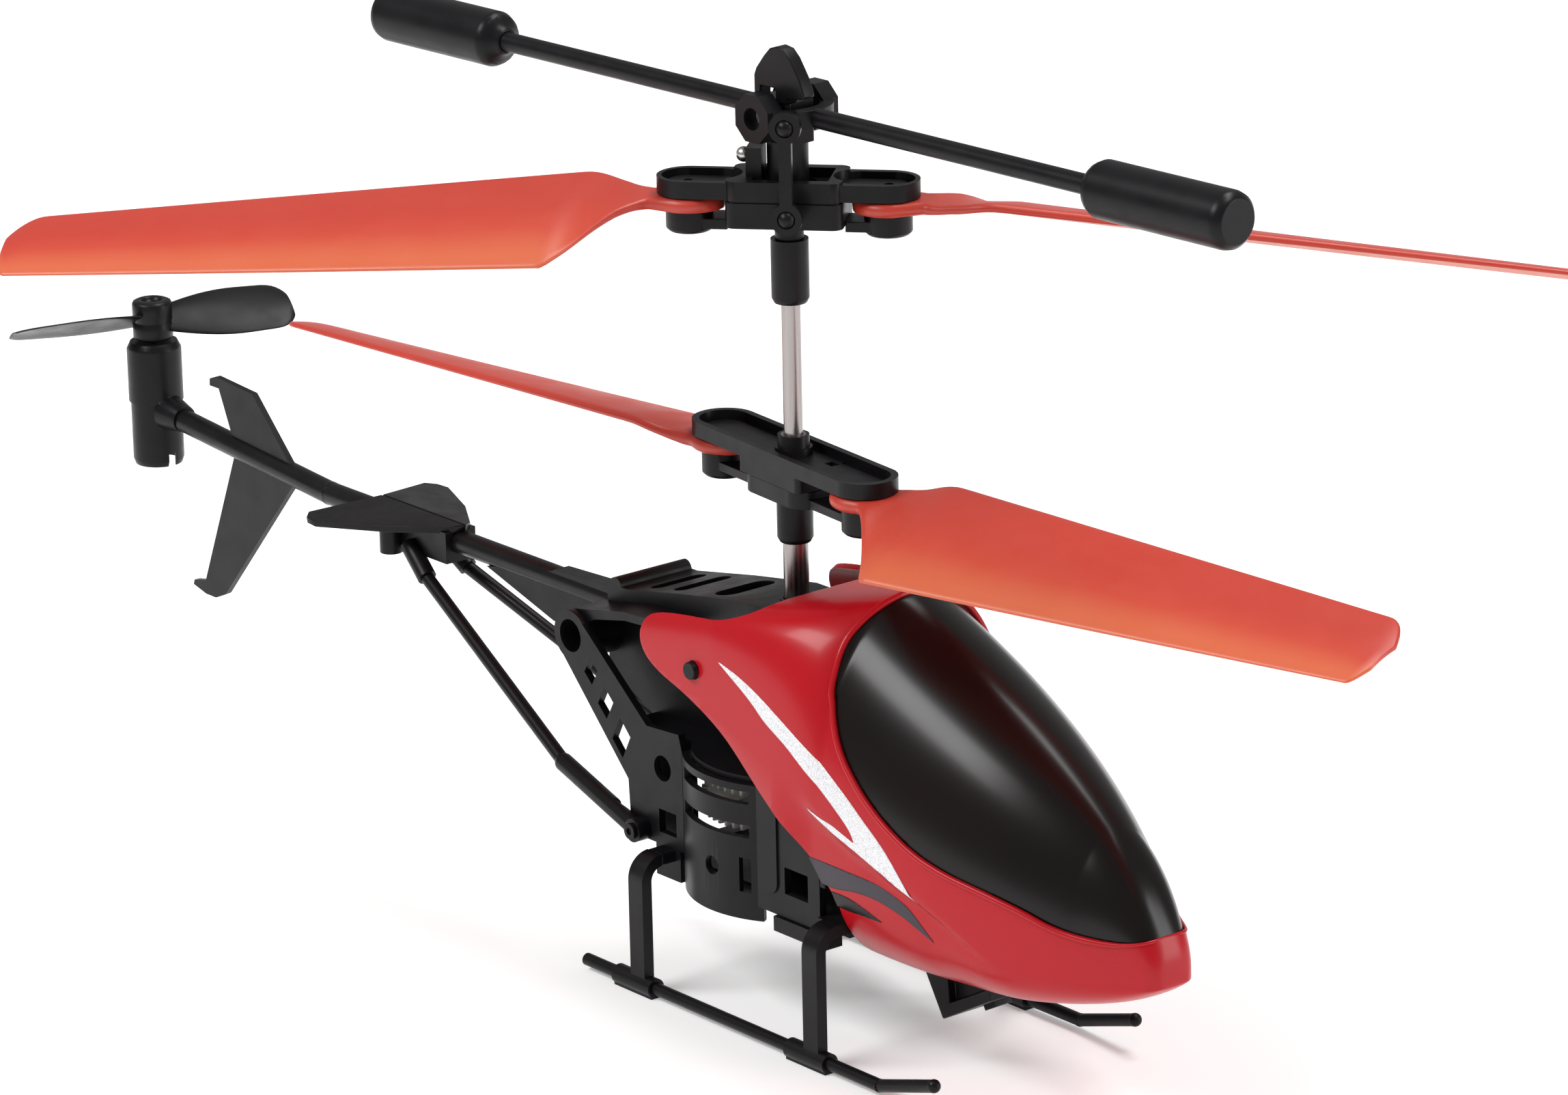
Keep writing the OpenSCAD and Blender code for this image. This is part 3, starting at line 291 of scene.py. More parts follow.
def glossy_shell(name, colour, rough, coat, specular, tint=None):
    """A glossy moulded shell with a slight orange-peel skin, clouded faintly with `tint`."""
    made, tree, shader = new_material(name)
    stops = [(0.0, shade(colour, 0.96)), (1.0, tint or shade(colour, 1.04))]
    blend_colours(tree, noise(tree, scale=45, detail=1), stops, shader.inputs["Base Color"])
    smear = noise(tree, scale=120, detail=1)
    spread(tree, smear, rough - 0.02, rough + 0.03, shader.inputs["Roughness"], (0, 1))
    relief(tree, shader, noise(tree, scale=1500, detail=1), PEEL_DEPTH)
    shader.inputs["Specular IOR Level"].default_value = specular
    shader.inputs["Coat Weight"].default_value = coat
    shader.inputs["Coat Roughness"].default_value = COAT_ROUGHNESS
    return made


def drawn_metal(name, colour, rough, along=(1, 1, 0.03), scale=2500):
    """Drawn or turned metal, with fine marks along one direction."""
    made, tree, shader = new_material(name)
    shader.inputs["Metallic"].default_value = 1.0
    marks = noise(tree, scale, detail=5, stretch=along)
    stops = [(0.3, shade(colour, 0.8)), (0.7, shade(colour, 1.12))]
    blend_colours(tree, marks, stops, shader.inputs["Base Color"])
    spread(tree, marks, rough - SMOOTHER, rough + ROUGHER, shader.inputs["Roughness"])
    relief(tree, shader, marks, METAL_MARKS)
    return made


def blade_material():
    """Thin orange-red plastic, its colour painted lighter where the blade is thinnest: a painted glow
    of light shining through.
    """
    made, tree, shader = new_material("blade")
    # A painted glow: the colour lightens where the blade is thin, as if light shone through it.
    thin = tree.nodes.new("ShaderNodeAttribute")
    thin.attribute_name = "painted_thin_glow"
    mix = tree.nodes.new("ShaderNodeMath")
    mix.operation = "MULTIPLY_ADD"
    mix.inputs[1].default_value = BLADE_CLOUD
    tree.links.new(noise(tree, scale=60, detail=3), mix.inputs[0])
    tree.links.new(thin.outputs["Fac"], mix.inputs[2])
    blend_colours(tree, mix.outputs["Value"], BLADE_COLOURS_TO_GLOW, shader.inputs["Base Color"])
    relief(tree, shader, noise(tree, scale=3500, detail=2), BLADE_GRAIN)
    smear = noise(tree, scale=200, detail=2)
    spread(tree, smear, 0.34, 0.44, shader.inputs["Roughness"])
    shader.inputs["Subsurface Weight"].default_value = 0.2
    shader.inputs["Subsurface Radius"].default_value = (1.0, 0.3, 0.12)
    shader.inputs["Subsurface Scale"].default_value = 0.0015
    return made


def sparkle_material():
    """Silver sticker with tiny bright and dull flakes."""
    made, tree, shader = new_material("silver_sticker")
    flakes = noise(tree, scale=7000, detail=2)
    blend_colours(tree, flakes, SILVER_COLOURS, shader.inputs["Base Color"])
    spread(tree, flakes, 0.55, 0.3, shader.inputs["Roughness"])
    relief(tree, shader, flakes, FLAKE_DEPTH)
    shader.inputs["Metallic"].default_value = 0.25
    return made


def circuit_material():
    """Green board with lighter copper tracks under the lacquer."""
    made, tree, shader = new_material("circuit_board")
    tracks = texture(tree, "ShaderNodeTexBrick", 260)
    tracks.inputs["Color1"].default_value = (0.012, 0.10, 0.035, 1)
    tracks.inputs["Color2"].default_value = (0.016, 0.13, 0.045, 1)
    tracks.inputs["Mortar"].default_value = (0.05, 0.26, 0.09, 1)
    tracks.inputs["Mortar Size"].default_value = 0.03
    tree.links.new(tracks.outputs["Color"], shader.inputs["Base Color"])
    relief(tree, shader, tracks.outputs["Fac"], TRACK_DEPTH)
    shader.inputs["Roughness"].default_value = 0.3
    return made


def foil_material():
    """Crinkled silver pouch of the battery, with painted shade in the hollows of its crinkles."""
    made, tree, shader = new_material("battery_foil")
    creases = texture(tree, "ShaderNodeTexVoronoi", 320)
    creases.feature = "SMOOTH_F1"
    height = creases.outputs["Distance"]
    # Painted shade: the colour follows the crinkles' height, darker in their hollows.
    blend_colours(tree, height, FOIL_COLOURS_SHADED, shader.inputs["Base Color"])
    relief(tree, shader, height, FOIL_DEPTH)
    shader.inputs["Metallic"].default_value = 0.9
    shader.inputs["Roughness"].default_value = 0.32
    return made


def floor_material():
    """A matt, nearly white floor with a faint glow, like a lit backdrop."""
    made, tree, shader = new_material("pale_floor")
    cloud = noise(tree, scale=6, detail=2)
    blend_colours(tree, cloud, FLOOR_COLOURS, shader.inputs["Base Color"])
    shader.inputs["Roughness"].default_value = 0.7
    shader.inputs["Specular IOR Level"].default_value = 0.2
    shader.inputs["Emission Color"].default_value = (1, 1, 1, 1)
    shader.inputs["Emission Strength"].default_value = FLOOR_GLOW
    return made


# The looks of the pieces: name, colour, roughness, then what sets each apart.
BLACK = moulded_plastic("black_nylon", (0.0054, 0.0049, 0.006), 0.35, specular=0.19)
BOOM = moulded_plastic(
    "black_boom", (0.0056, 0.0052, 0.006), 0.31, grain=2500, depth=3e-6, specular=0.22,
)
RED = glossy_shell("red_canopy", (0.42, 0.0045, 0.0105), 0.28, 0.12, 0.22)
DARK = glossy_shell(
    "dark_windshield", (0.003, 0.0025, 0.0025), 0.24, 0.07, 0.25, tint=(0.008, 0.003, 0.003),
)
BLADE = blade_material()
SILVER = sparkle_material()
GREY = glossy_shell("grey_sticker", (0.034, 0.028, 0.038), 0.35, 0.1, 0.3)
STEEL = drawn_metal("shaft_steel", (0.36, 0.33, 0.32), 0.26)
PLATED = drawn_metal("plated_steel", (0.62, 0.61, 0.59), 0.26, (1, 1, 1), 1800)
MOTOR = drawn_metal("motor_can", (0.58, 0.58, 0.57), 0.34, (1, 1, 0.2), 1500)
BRASS = drawn_metal("brass", (0.72, 0.5, 0.2), 0.3, (1, 1, 0.2), 1500)
WHITE = moulded_plastic("white_nylon", (0.62, 0.61, 0.58), 0.4, grain=2500, mottle=0.04)
CHIP = moulded_plastic("chip", (0.02, 0.02, 0.022), 0.5)
BOARD = circuit_material()
FOIL = foil_material()


# ------------------------------------------------------------- mesh helpers


def add_piece(name, vertices_mm, faces, body, material, replaced=()):
    """Make a smooth mesh piece from millimetres and fasten it to a CAD body."""
    mesh = bpy.data.meshes.new(name)
    mesh.from_pydata([Vector(v) * MM for v in vertices_mm], [], faces)
    mesh.polygons.foreach_set("use_smooth", [True] * len(mesh.polygons))
    mesh.materials.append(material)
    mesh.update()
    piece = bpy.data.objects.new(name, mesh)
    bpy.context.collection.objects.link(piece)
    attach(piece, body)
    if replaced:
        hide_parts(*replaced)
    return piece


def unpack(bm):
    """The points and faces of an edited mesh, which is freed."""
    bm.verts.index_update()
    points = [v.co.copy() for v in bm.verts]
    faces = [[v.index for v in face.verts] for face in bm.faces]
    bm.free()
    return points, faces


def round_edges(piece, name, width, sharp):
    """Round the edges that turn by more than `sharp` degrees, `width` mm wide."""
    bevel = piece.modifiers.new(name, "BEVEL")
    bevel.width = width * MM
    bevel.segments = 2
    bevel.limit_method = "ANGLE"
    bevel.angle_limit = radians(sharp)


WELD = 2e-6
FLAT_ANGLE = radians(1.0)
CORNER_DEGREES = 34


def soften(node, width):
    """Replace a CAD node by a black copy whose sharp edges are rounded, `width` mm wide."""
    source = bmesh.new()
    source.from_mesh(frame["nodes"][node].data)
    bmesh.ops.remove_doubles(source, verts=source.verts, dist=WELD)
    bmesh.ops.dissolve_limit(source, angle_limit=FLAT_ANGLE, verts=source.verts, edges=source.edges)
    points, faces = unpack(source)
    vertices = [point / MM for point in points]
    body = frame["nodes"][node]["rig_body"]
    piece = add_piece(node + "_moulded", vertices, faces, body, BLACK, (node,))
    round_edges(piece, "round_edges", width, CORNER_DEGREES)
    weighted = piece.modifiers.new("even_shading", "WEIGHTED_NORMAL")
    weighted.keep_sharp = True


def loft(rings, capped=True):
    """Vertices and faces of a skin over rings of equal length."""
    count = len(rings[0])
    vertices = [point for ring in rings for point in ring]
    faces = []
    for i in range(len(rings) - 1):
        near, far = i * count, (i + 1) * count
        for k in range(count):
            m = (k + 1) % count
            faces.append((near + k, near + m, far + m, far + k))
    if capped:
        last = (len(rings) - 1) * count
        faces.append(tuple(range(count - 1, -1, -1)))
        faces.append(tuple(range(last, last + count)))
    return vertices, faces


def turned(point, azimuth, centre):
    """A point turned round the vertical by `azimuth`, then moved out to `centre`."""
    return Vector((
        centre.x + point.x * cos(azimuth) - point.y * sin(azimuth),
        centre.y + point.x * sin(azimuth) + point.y * cos(azimuth),
        centre.z + point.z,
    ))


LEAST_RADIUS = 0.001


def lathe(profile, centre, sides=64):
    """A solid turned round a vertical axis from (radius, height) points.

    A point on the axis gets the least radius, so the ends stay open for their caps.
    """
    base = Vector((centre.x, centre.y, 0))
    rings = []
    for radius, height in profile:
        start = Vector((max(radius, LEAST_RADIUS), 0, height))
        rings.append([turned(start, 2 * pi * k / sides, base) for k in range(sides)])
    return loft(rings)


def join_meshes(*parts):
    """One list of vertices and faces from several."""
    vertices, faces = [], []
    for part_vertices, part_faces in parts:
        start = len(vertices)
        vertices.extend(part_vertices)
        faces.extend(tuple(start + k for k in face) for face in part_faces)
    return vertices, faces


def clamp(value, low=0, high=1):
    """A value kept between two limits."""
    return min(max(value, low), high)


def smoothstep(value, low, high):
    """An even rise from 0 at `low` to 1 at `high`."""
    share = clamp((value - low) / (high - low))
    return share * share * (3 - 2 * share)


def curve_through(points, steps):
    """A smooth open curve through points (Catmull-Rom), `steps` to a span."""
    last = len(points) - 1
    made = []
    for i in range(last):
        before, start, end, after = (
            Vector(points[clamp(k, 0, last)]) for k in (i - 1, i, i + 1, i + 2)
        )
        for step in range(steps):
            t = step / steps
            made.append(0.5 * (
                2 * start + (end - before) * t
                + (2 * before - 5 * start + 4 * end - after) * t * t
                + (3 * start - before - 3 * end + after) * t ** 3
            ))
    made.append(Vector(points[-1]))
    return made


def outline_distance(outline):
    """The signed distance to a closed outline in X and Z, positive inside."""
    edges = list(zip(outline, outline[1:] + outline[:1]))

    def distance(x, z):
        best = 1e9
        inside = False
        for (ax, az), (bx, bz) in edges:
            dx, dz = bx - ax, bz - az
            length = dx * dx + dz * dz
            share = 0 if length == 0 else clamp(((x - ax) * dx + (z - az) * dz) / length)
            best = min(best, (x - ax - share * dx) ** 2 + (z - az - share * dz) ** 2)
            if (az > z) != (bz > z) and x < ax + (z - az) * dx / dz:
                inside = not inside
        return sqrt(best) if inside else -sqrt(best)

    return distance


def clip(bm, field, tiny):
    """Cut a mesh along a field's zero line and keep the side where it is positive.

    Points less than `tiny` from the line count as on it, so no slivers are left.
    """
    value = {}
    for vertex in bm.verts:
        level = field(vertex.co)
        value[vertex] = 0.0 if abs(level) < tiny else level
    for edge in list(bm.edges):
        a, b = edge.verts
        if value[a] * value[b] < 0:
            share = value[a] / (value[a] - value[b])
            vertex = bmesh.utils.edge_split(edge, a, share)[1]
            value[vertex] = 0.0
    for face in list(bm.faces):
        levels = [value[v] for v in face.verts]
        on_line = [v for v in face.verts if value[v] == 0.0]
        if len(on_line) == 2 and min(levels) < 0 < max(levels):
            bmesh.utils.face_split(face, *on_line)
    outside = [face for face in bm.faces if min(value[v] for v in face.verts) < 0]
    bmesh.ops.delete(bm, geom=outside, context="FACES")


# ------------------------------------------------------------------- canopy

# The canopy's shape in millimetres, fitted to its CAD box.
CANOPY_HIGH = box_mm("canopy")[1]
WIND_HIGH = box_mm("windshield")[1]
HALF_WIDTH = CANOPY_HIGH.y
NOSE_X = CANOPY_HIGH.x
NOSE_Z = 19.8
ROOF_Z = max(CANOPY_HIGH.z, WIND_HIGH.z)
SHOULDER_X = 22.0
NOSE_HALF = 2.9
NOSE_ROUND = 1.2
SHELL = 0.8
CREASE_TOP = 34.1
CREASE_START = 16.4
CREASE_SLOPE = 0.39
CREASE_BEND = 0.012
CREASE_BEND_X = 37
CREASE_DEPTH = 1.2
# How the cross-sections change from the shoulder to the nose.
SIDE_POWER = 2.1
ROOF_SLOPE = 0.16
CHIN_DROP = 8.4
MIDDLE_RISE = 10.7
BELLY_POWER = 2.6
LEAST = 0.02
# Points of the grid closer than this are one.
SEAM = 0.004


def crease_depth(x, z):
    """How far the lower side is set in below the crease that runs to the belly."""
    bend = CREASE_BEND * max(x - CREASE_BEND_X, 0) ** 2
    line = CREASE_TOP - CREASE_SLOPE * (x - CREASE_START) - bend
    fade = smoothstep(x, 14, 20) * (1 - smoothstep(x, 38, 50))
    return CREASE_DEPTH * fade * smoothstep(line - z, -0.2, 1.3)


def egg_section(x, inset):
    """Half width, middle height, rise, drop and top power of one cross-section."""
    nose = NOSE_X - inset
    share = clamp((x - SHOULDER_X) / (nose - SHOULDER_X))
    corner = clamp(x - nose + NOSE_ROUND, 0, NOSE_ROUND)
    cut = NOSE_ROUND - sqrt(NOSE_ROUND ** 2 - corner ** 2)
    half = max(HALF_WIDTH - (HALF_WIDTH - NOSE_HALF) * share ** SIDE_POWER - cut - inset, LEAST)
    top = NOSE_Z + (ROOF_Z - NOSE_Z) * sqrt(1 - share) - ROOF_SLOPE * max(SHOULDER_X - x, 0)
    bottom = NOSE_Z - CHIN_DROP * (1 - share ** 2.4) ** 0.75
    middle = NOSE_Z + MIDDLE_RISE * (1 - share)
    power = 2 + 6 * clamp((SHOULDER_X - x) / 20) + 1.2 * clamp((x - 58) / 10)
    rise = max(top - middle - inset, LEAST)
    drop = max(middle - bottom - inset, LEAST)
    return half, middle, rise, drop, power


def egg_point(x, angle, inset=0.0):
    """A point of the canopy's skin; the angle runs from +Y over the roof."""
    half, middle, rise, drop, top_power = egg_section(x, inset)
    c, s = cos(angle), sin(angle)
    power = 2 / (top_power if s > 0 else BELLY_POWER)
    y = half * (abs(c) ** power) * (1 if c > 0 else -1)
    z = middle + (rise if s > 0 else -drop) * abs(s) ** power
    depth = crease_depth(x, z)
    if depth and abs(y) > 0.5:
        y -= depth * (1 if y > 0 else -1) * min(1, abs(y) / 6)
    return Vector((x, y, z))


def egg_sheet(rear, front, across, turns, span=(0, 2 * pi), inset=0.0, bunch=1.35):
    """A fine grid over the skin from `rear` to `front`, its rows bunched at the front."""
    bm = bmesh.new()
    rows = []
    sweep = span[1] - span[0]
    closed = abs(sweep - 2 * pi) < 1e-6
    columns = turns if closed else turns + 1
    for i in range(across + 1):
        x = front - (front - rear) * (1 - i / across) ** bunch
        angles = [span[0] + sweep * k / turns for k in range(columns)]
        rows.append([bm.verts.new(egg_point(x, angle, inset)) for angle in angles])
    for i in range(across):
        for k in range(turns):
            m = (k + 1) % columns
            bm.faces.new((rows[i][k], rows[i][m], rows[i + 1][m], rows[i + 1][k]))
    if closed:
        bm.faces.new(rows[-1])
    bmesh.ops.remove_doubles(bm, verts=bm.verts, dist=SEAM)
    return bm


# The windshield's edge on the canopy in side view, (x, z) in millimetres.
WINDOW_EDGE = [
    (21.6, 60), (21.6, 57.5), (21.1, 54.6), (20.9, 52.5), (21.2, 49.6), (21.9, 45.9), (24.4, 41.3),
    (27.9, 37.6), (32.2, 34.3), (37.3, 31.4), (42, 29.7), (47.8, 28.3), (52.4, 27), (56, 25.7),
    (59.4, 25), (63, 24.8), (66, 25.2), (68.6, 26.2), (72, 28.3),
]
window_curve = [(p.x, p.y) for p in curve_through(WINDOW_EDGE, 8)]
in_window = outline_distance([(21.6, 75)] + window_curve + [(80, 30), (80, 75)])


def outside_window(point):
    """Positive outside the windshield's edge in side view."""
    return -in_window(point.x, point.z)


# The canopy's open rear edge in side view, from the belly to the roof.
REAR_EDGE = [
    (23.2, 20.6), (22.2, 22.4), (19.6, 25.6), (14.8, 29.7), (9.8, 33.6), (4.7, 37.9), (-2, 41),
    (-7.6, 42.9), (-10.4, 44.6), (-11.5, 46.8), (-10.6, 49), (-8, 50), (-3, 50.8), (2.7, 51.6),
    (7, 53.2), (9.2, 54.9),
]
in_front = outline_distance(
    [(23.2, 0)] + [(p.x, p.y) for p in curve_through(REAR_EDGE, 5)] + [(9.4, 75), (95, 75), (95, 0)]
)


def in_front_of_rear_edge(point):
    """Positive in front of the canopy's open rear edge in side view."""
    return in_front(point.x, point.z)


RIM_DEGREES = 50
# How near to a cut a point of the grid is taken as on it, in millimetres.
CUT_TINY = 0.03
HOLE_TINY = 0.02
STICKER_TINY = 0.012


def sheet_piece(name, bm, thickness, material, replaced=(), rim=0.25):
    """Give a clipped sheet its thickness and rounded edges, and fasten it."""
    bmesh.ops.recalc_face_normals(bm, faces=bm.faces)
    vertices, faces = unpack(bm)
    piece = add_piece(name, vertices, faces, "airframe", material, replaced)
    solid = piece.modifiers.new("thickness", "SOLIDIFY")
    solid.thickness = thickness * MM
    solid.offset = -1
    solid.use_even_offset = False
    if rim:
        round_edges(piece, "rounded_rim", rim, RIM_DEGREES)


BELLY_BOX = box_mm("switch_housing")
BELLY_GAP = 0.4
BELLY_TOP = 16
PEG_BOX = box_mm("canopy_pegs")
PEG_HOLE_R = 1.2


def outside_belly_cut(point):
    """Positive outside the opening round the wedge under the belly."""
    low, high = BELLY_BOX
    along = abs(point.x - (low.x + high.x) / 2) - (high.x - low.x) / 2 - BELLY_GAP
    return max(along, abs(point.y) - high.y - BELLY_GAP, point.z - BELLY_TOP)


def outside_peg_hole(point):
    """Positive outside the holes for the posts."""
    low, high = PEG_BOX
    along, up = point.x - (low.x + high.x) / 2, point.z - (low.z + high.z) / 2
    return sqrt(along ** 2 + up ** 2) - PEG_HOLE_R


def make_canopy():
    """The red shell, cut open at the rear, the windshield and the belly."""
    bm = egg_sheet(rear=-14, front=NOSE_X - 0.01, across=200, turns=200)
    clip(bm, outside_window, CUT_TINY)
    clip(bm, in_front_of_rear_edge, CUT_TINY)
    clip(bm, outside_belly_cut, CUT_TINY)
    clip(bm, outside_peg_hole, HOLE_TINY)
    sheet_piece("canopy_shell", bm, SHELL, RED, ("canopy",))


WINDSHIELD_INSET = 0.22
WINDSHIELD_GAP = 0.12
WINDSHIELD_THICK = 0.7


def make_windshield():
    """The dark windshield, sunk a little into the canopy's opening."""
    front = NOSE_X - WINDSHIELD_INSET - 0.01
    bm = egg_sheet(rear=18, front=front, across=170, turns=180, inset=WINDSHIELD_INSET)
    clip(bm, lambda p: -outside_window(p) - WINDSHIELD_GAP, CUT_TINY)
    sheet_piece(
        "windshield_shell", bm, WINDSHIELD_THICK, DARK, ("windshield",), rim=0.12,
    )


def rim_path():
    """The windshield's edge on the canopy, right round."""
    right = []
    for x, z in window_curve:
        if x > NOSE_X - 0.02:
            break
        half, middle, rise, _, power = egg_section(x, 0)
        share = (z - middle) / rise
        if share < 1:
            right.append(Vector((x, -half * (1 - max(share, 0) ** power) ** (1 / power), z)))
    left = [Vector((p.x, -p.y, p.z)) for p in reversed(right)]
    return right + left


def closed_tube(path, radii, sides=12):
    """A round bead along a closed path, with a radius for each of its points."""
    rings = []
    side = None
    for i, (point, radius) in enumerate(zip(path, radii)):
        along = (path[(i + 1) % len(path)] - path[i - 1]).normalized()
        side = side or along.orthogonal()
        side = (side - along * side.dot(along)).normalized()
        across = along.cross(side)
        ring = []
        for k in range(sides):
            turn = 2 * pi * k / sides
            ring.append(point + side * radius * cos(turn) + across * radius * sin(turn))
        rings.append(ring)
    return loft(rings + [rings[0]], capped=False)


RIM_RADIUS = 0.42
RIM_THINNING = 0.22


def make_rim():
    """The raised bead of the canopy round the windshield, which fades out at the nose."""
    path = rim_path()
    radii = [
        RIM_RADIUS - RIM_THINNING * smoothstep(point.x, NOSE_X - 8, NOSE_X - 1) for point in path
    ]
    vertices, faces = closed_tube(path, radii)
    add_piece("windshield_rim", vertices, faces, "airframe", RED)


STICKER_LIFT = 0.05
STICKER_THICK = 0.05


def make_sticker(name, outline, material, mirrored):
    """A thin sticker on the canopy's side, cut to an outline in side view."""
    inside = outline_distance([(p.x, p.y) for p in outline])
    xs = [p.x for p in outline]
    span = (radians(70), radians(-70)) if mirrored else (radians(110), radians(250))
    bm = egg_sheet(min(xs) - 0.5, max(xs) + 0.5, 200, 260, span, -STICKER_LIFT, bunch=1.0)
    clip(bm, lambda p: inside(p.x, p.z), STICKER_TINY)
    sheet_piece(name, bm, STICKER_THICK, material, rim=0)


# The edges of each sticker in side view; they meet at sharp corners.
SWOOSH = (
    [(3.6, 47.0), (7.5, 46.0), (11.4, 44.5), (16.3, 42.0), (21.4, 39.1), (25.9, 36.4), (29.1, 34.2),
     (34, 30.3), (38.3, 25.0)],
    [(38.3, 25.0), (33.6, 27.5), (29.1, 29.4), (24.8, 30.8), (22, 31.7), (20.0, 32.8)],
    [(20.0, 32.8), (22.6, 32.1), (24.8, 31.7), (27, 31), (28.8, 30.4)],
    [(28.8, 30.4), (27.7, 32), (24.6, 34.3), (20.2, 37), (16.4, 39.5), (12.8, 41.4), (10, 43.4),
     (7.1, 45.1), (3.6, 47.0)],
)
STREAK = (
    [(19.0, 25.9), (24.5, 25.9), (29.9, 25.7), (32.9, 25.1), (35.8, 23.9), (37.8, 22.0), (39.4, 20.0)],
    [(39.4, 20.0), (36.8, 21.5), (34.1, 22.7), (30.7, 23.5), (27, 23.5), (23.3, 22.9), (20.8, 22.9)],
    [(20.8, 22.9), (19.0, 25.9)],
)
WEDGE = (
    [(22.4, 22.3), (25.6, 22.3), (28.4, 21.6), (31.2, 20.5)],
    [(31.2, 20.5), (28.3, 20.5), (24.9, 20.4), (22.9, 20.4)],
    [(22.9, 20.4), (22.4, 22.3)],
)


def outline_of(edges):
    """One closed outline from smooth edges that meet at sharp corners."""
    points = []
    for edge in edges:
        points += curve_through(edge, 5)[:-1]
    return points


def make_stickers():
    """The silver swoosh, grey streak and dark wedge on both sides of the canopy."""
    for side, mirrored in (("right", False), ("left", True)):
        make_sticker("swoosh_" + side, outline_of(SWOOSH), SILVER, mirrored)
        make_sticker("streak_" + side, outline_of(STREAK), GREY, mirrored)
        make_sticker("wedge_" + side, outline_of(WEDGE), DARK, mirrored)


# ------------------------------------------------------------------- blades

# The main blades, in millimetres from the mast and degrees of pitch.
BLADE_TIP = 96.5
EYE_R = 4.3
NECK_HALF = 3.4
TIP_ROUND = 4.2
ROOT_PITCH = 16.5
PITCH_GAIN = 2.5
CAMBER = 0.045
# Where the root ends for the leading edge, the trailing edge and the twist.
LEAD_ROOT_END = 25
TRAIL_ROOT_END = 27.5
PITCH_ROOT_END = 26


def blade_lead(r):
    """How far the leading edge stands off the blade's axis at radius `r`."""
    if r < LEAD_ROOT_END:
        return 3.6 + 2.7 * sin(pi / 2 * max(r - 17, 0) / 8) ** 2
    edge = 6.3 - 1.5 * (r - LEAD_ROOT_END) / (BLADE_TIP - 29)
    return edge - TIP_ROUND * (max(r - BLADE_TIP + TIP_ROUND, 0) / TIP_ROUND) ** 2.2


def blade_trail(r):
    """How far the trailing edge stands off the axis at radius `r`, on the negative side."""
    if r < TRAIL_ROOT_END:
        return -3.9 - 11 * (max(r - 17.5, 0) / 10) ** 1.25
    corner = max(r - BLADE_TIP + 1.2, 0) / 1.2
    return -14.9 + 7.5 * (r - TRAIL_ROOT_END) / (BLADE_TIP - 28) + 3 * corner ** 2


def blade_pitch(r):
    """The blade's twist, level at the eye and steepest at the tip."""
    if r < PITCH_ROOT_END:
        return radians(ROOT_PITCH) * sin(pi / 2 * max(r - 16, 0) / 10) ** 2
    return radians(ROOT_PITCH + PITCH_GAIN * (r - PITCH_ROOT_END) / 71)


def blade_edges(r, pin_r):
    """The leading and trailing edge at radius `r`, with the round eye about the pin."""
    out = r - pin_r
    eye = sqrt(max(EYE_R * EYE_R - out * out, 0)) if out < EYE_R else 0
    if out < 0:
        return eye, -eye
    neck = smoothstep(r, pin_r + 0.5, 18.6)
    stem = (1 - neck) * min(eye, NECK_HALF)
    return max(eye, neck * blade_lead(r) + stem), -max(eye, -neck * blade_trail(r) + stem)


def blade_ring(r, pin_r, sag, across=36):
    """A closed cross-section with a rounded edge, in the blade's own axes."""
    out = r - pin_r
    lead, trail = blade_edges(r, pin_r)
    chord = max(lead - trail, LEAST)
    thick = 1.8 - 0.7 * smoothstep(out, 3.6, 6.5) - 0.5 * clamp((r - 20) / 77)
    thick = min(thick, chord)
    camber = CAMBER * chord * smoothstep(r, 18, 28)
    pitch = blade_pitch(r)
    ring = []
    for k in range(across):
        turn = 2 * pi * k / across
        share = 0.5 - 0.5 * cos(turn)
        edge = min(share, 1 - share) * chord / (thick / 2)
        fullness = sqrt(max(1 - (1 - min(edge, 1)) ** 2, 0))
        taper = 1 - 0.45 * share * smoothstep(r, 19, 26)
        skin = (1 if sin(turn) < 0 else -1) * thick / 2 * fullness * taper
        v = lead + (trail - lead) * share
        w = camber * 4 * share * (1 - share) + skin
        ring.append(Vector((
            out,
            v * cos(pitch) - w * sin(pitch),
            v * sin(pitch) + w * cos(pitch) - sag * max(r - 20, 0),
        )))
    return ring


def blade_stations(pin_r):
    """Radii of the cross-sections, closest together at the eye and at the tip."""
    radii = [pin_r - 4.29 + 8.3 * (1 - cos(pi * k / 28)) / 2 for k in range(18)]
    radii += [r for r in (16.5 + 0.7 * k for k in range(20)) if r > radii[-1] + 0.3]
    radii += [radii[-1] + (BLADE_TIP - 4.3 - radii[-1]) * k / 30 for k in range(1, 31)]
    radii += [BLADE_TIP - TIP_ROUND + TIP_ROUND * sin(pi / 2 * k / 12) for k in range(1, 13)]
    return radii


def mark_painted_glow(piece, radii, across):
    """Tell the material where to paint the glow of light through the thin blade: away from the root,
    towards the trailing edge.
    """
    thin = piece.data.attributes.new("painted_thin_glow", "FLOAT", "POINT")
    for i, r in enumerate(radii):
        for k in range(across):
            share = 0.5 - 0.5 * cos(2 * pi * k / across)
            thin.data[i * across + k].value = smoothstep(r, 18, 30) * smoothstep(share, 0.35, 1.0)


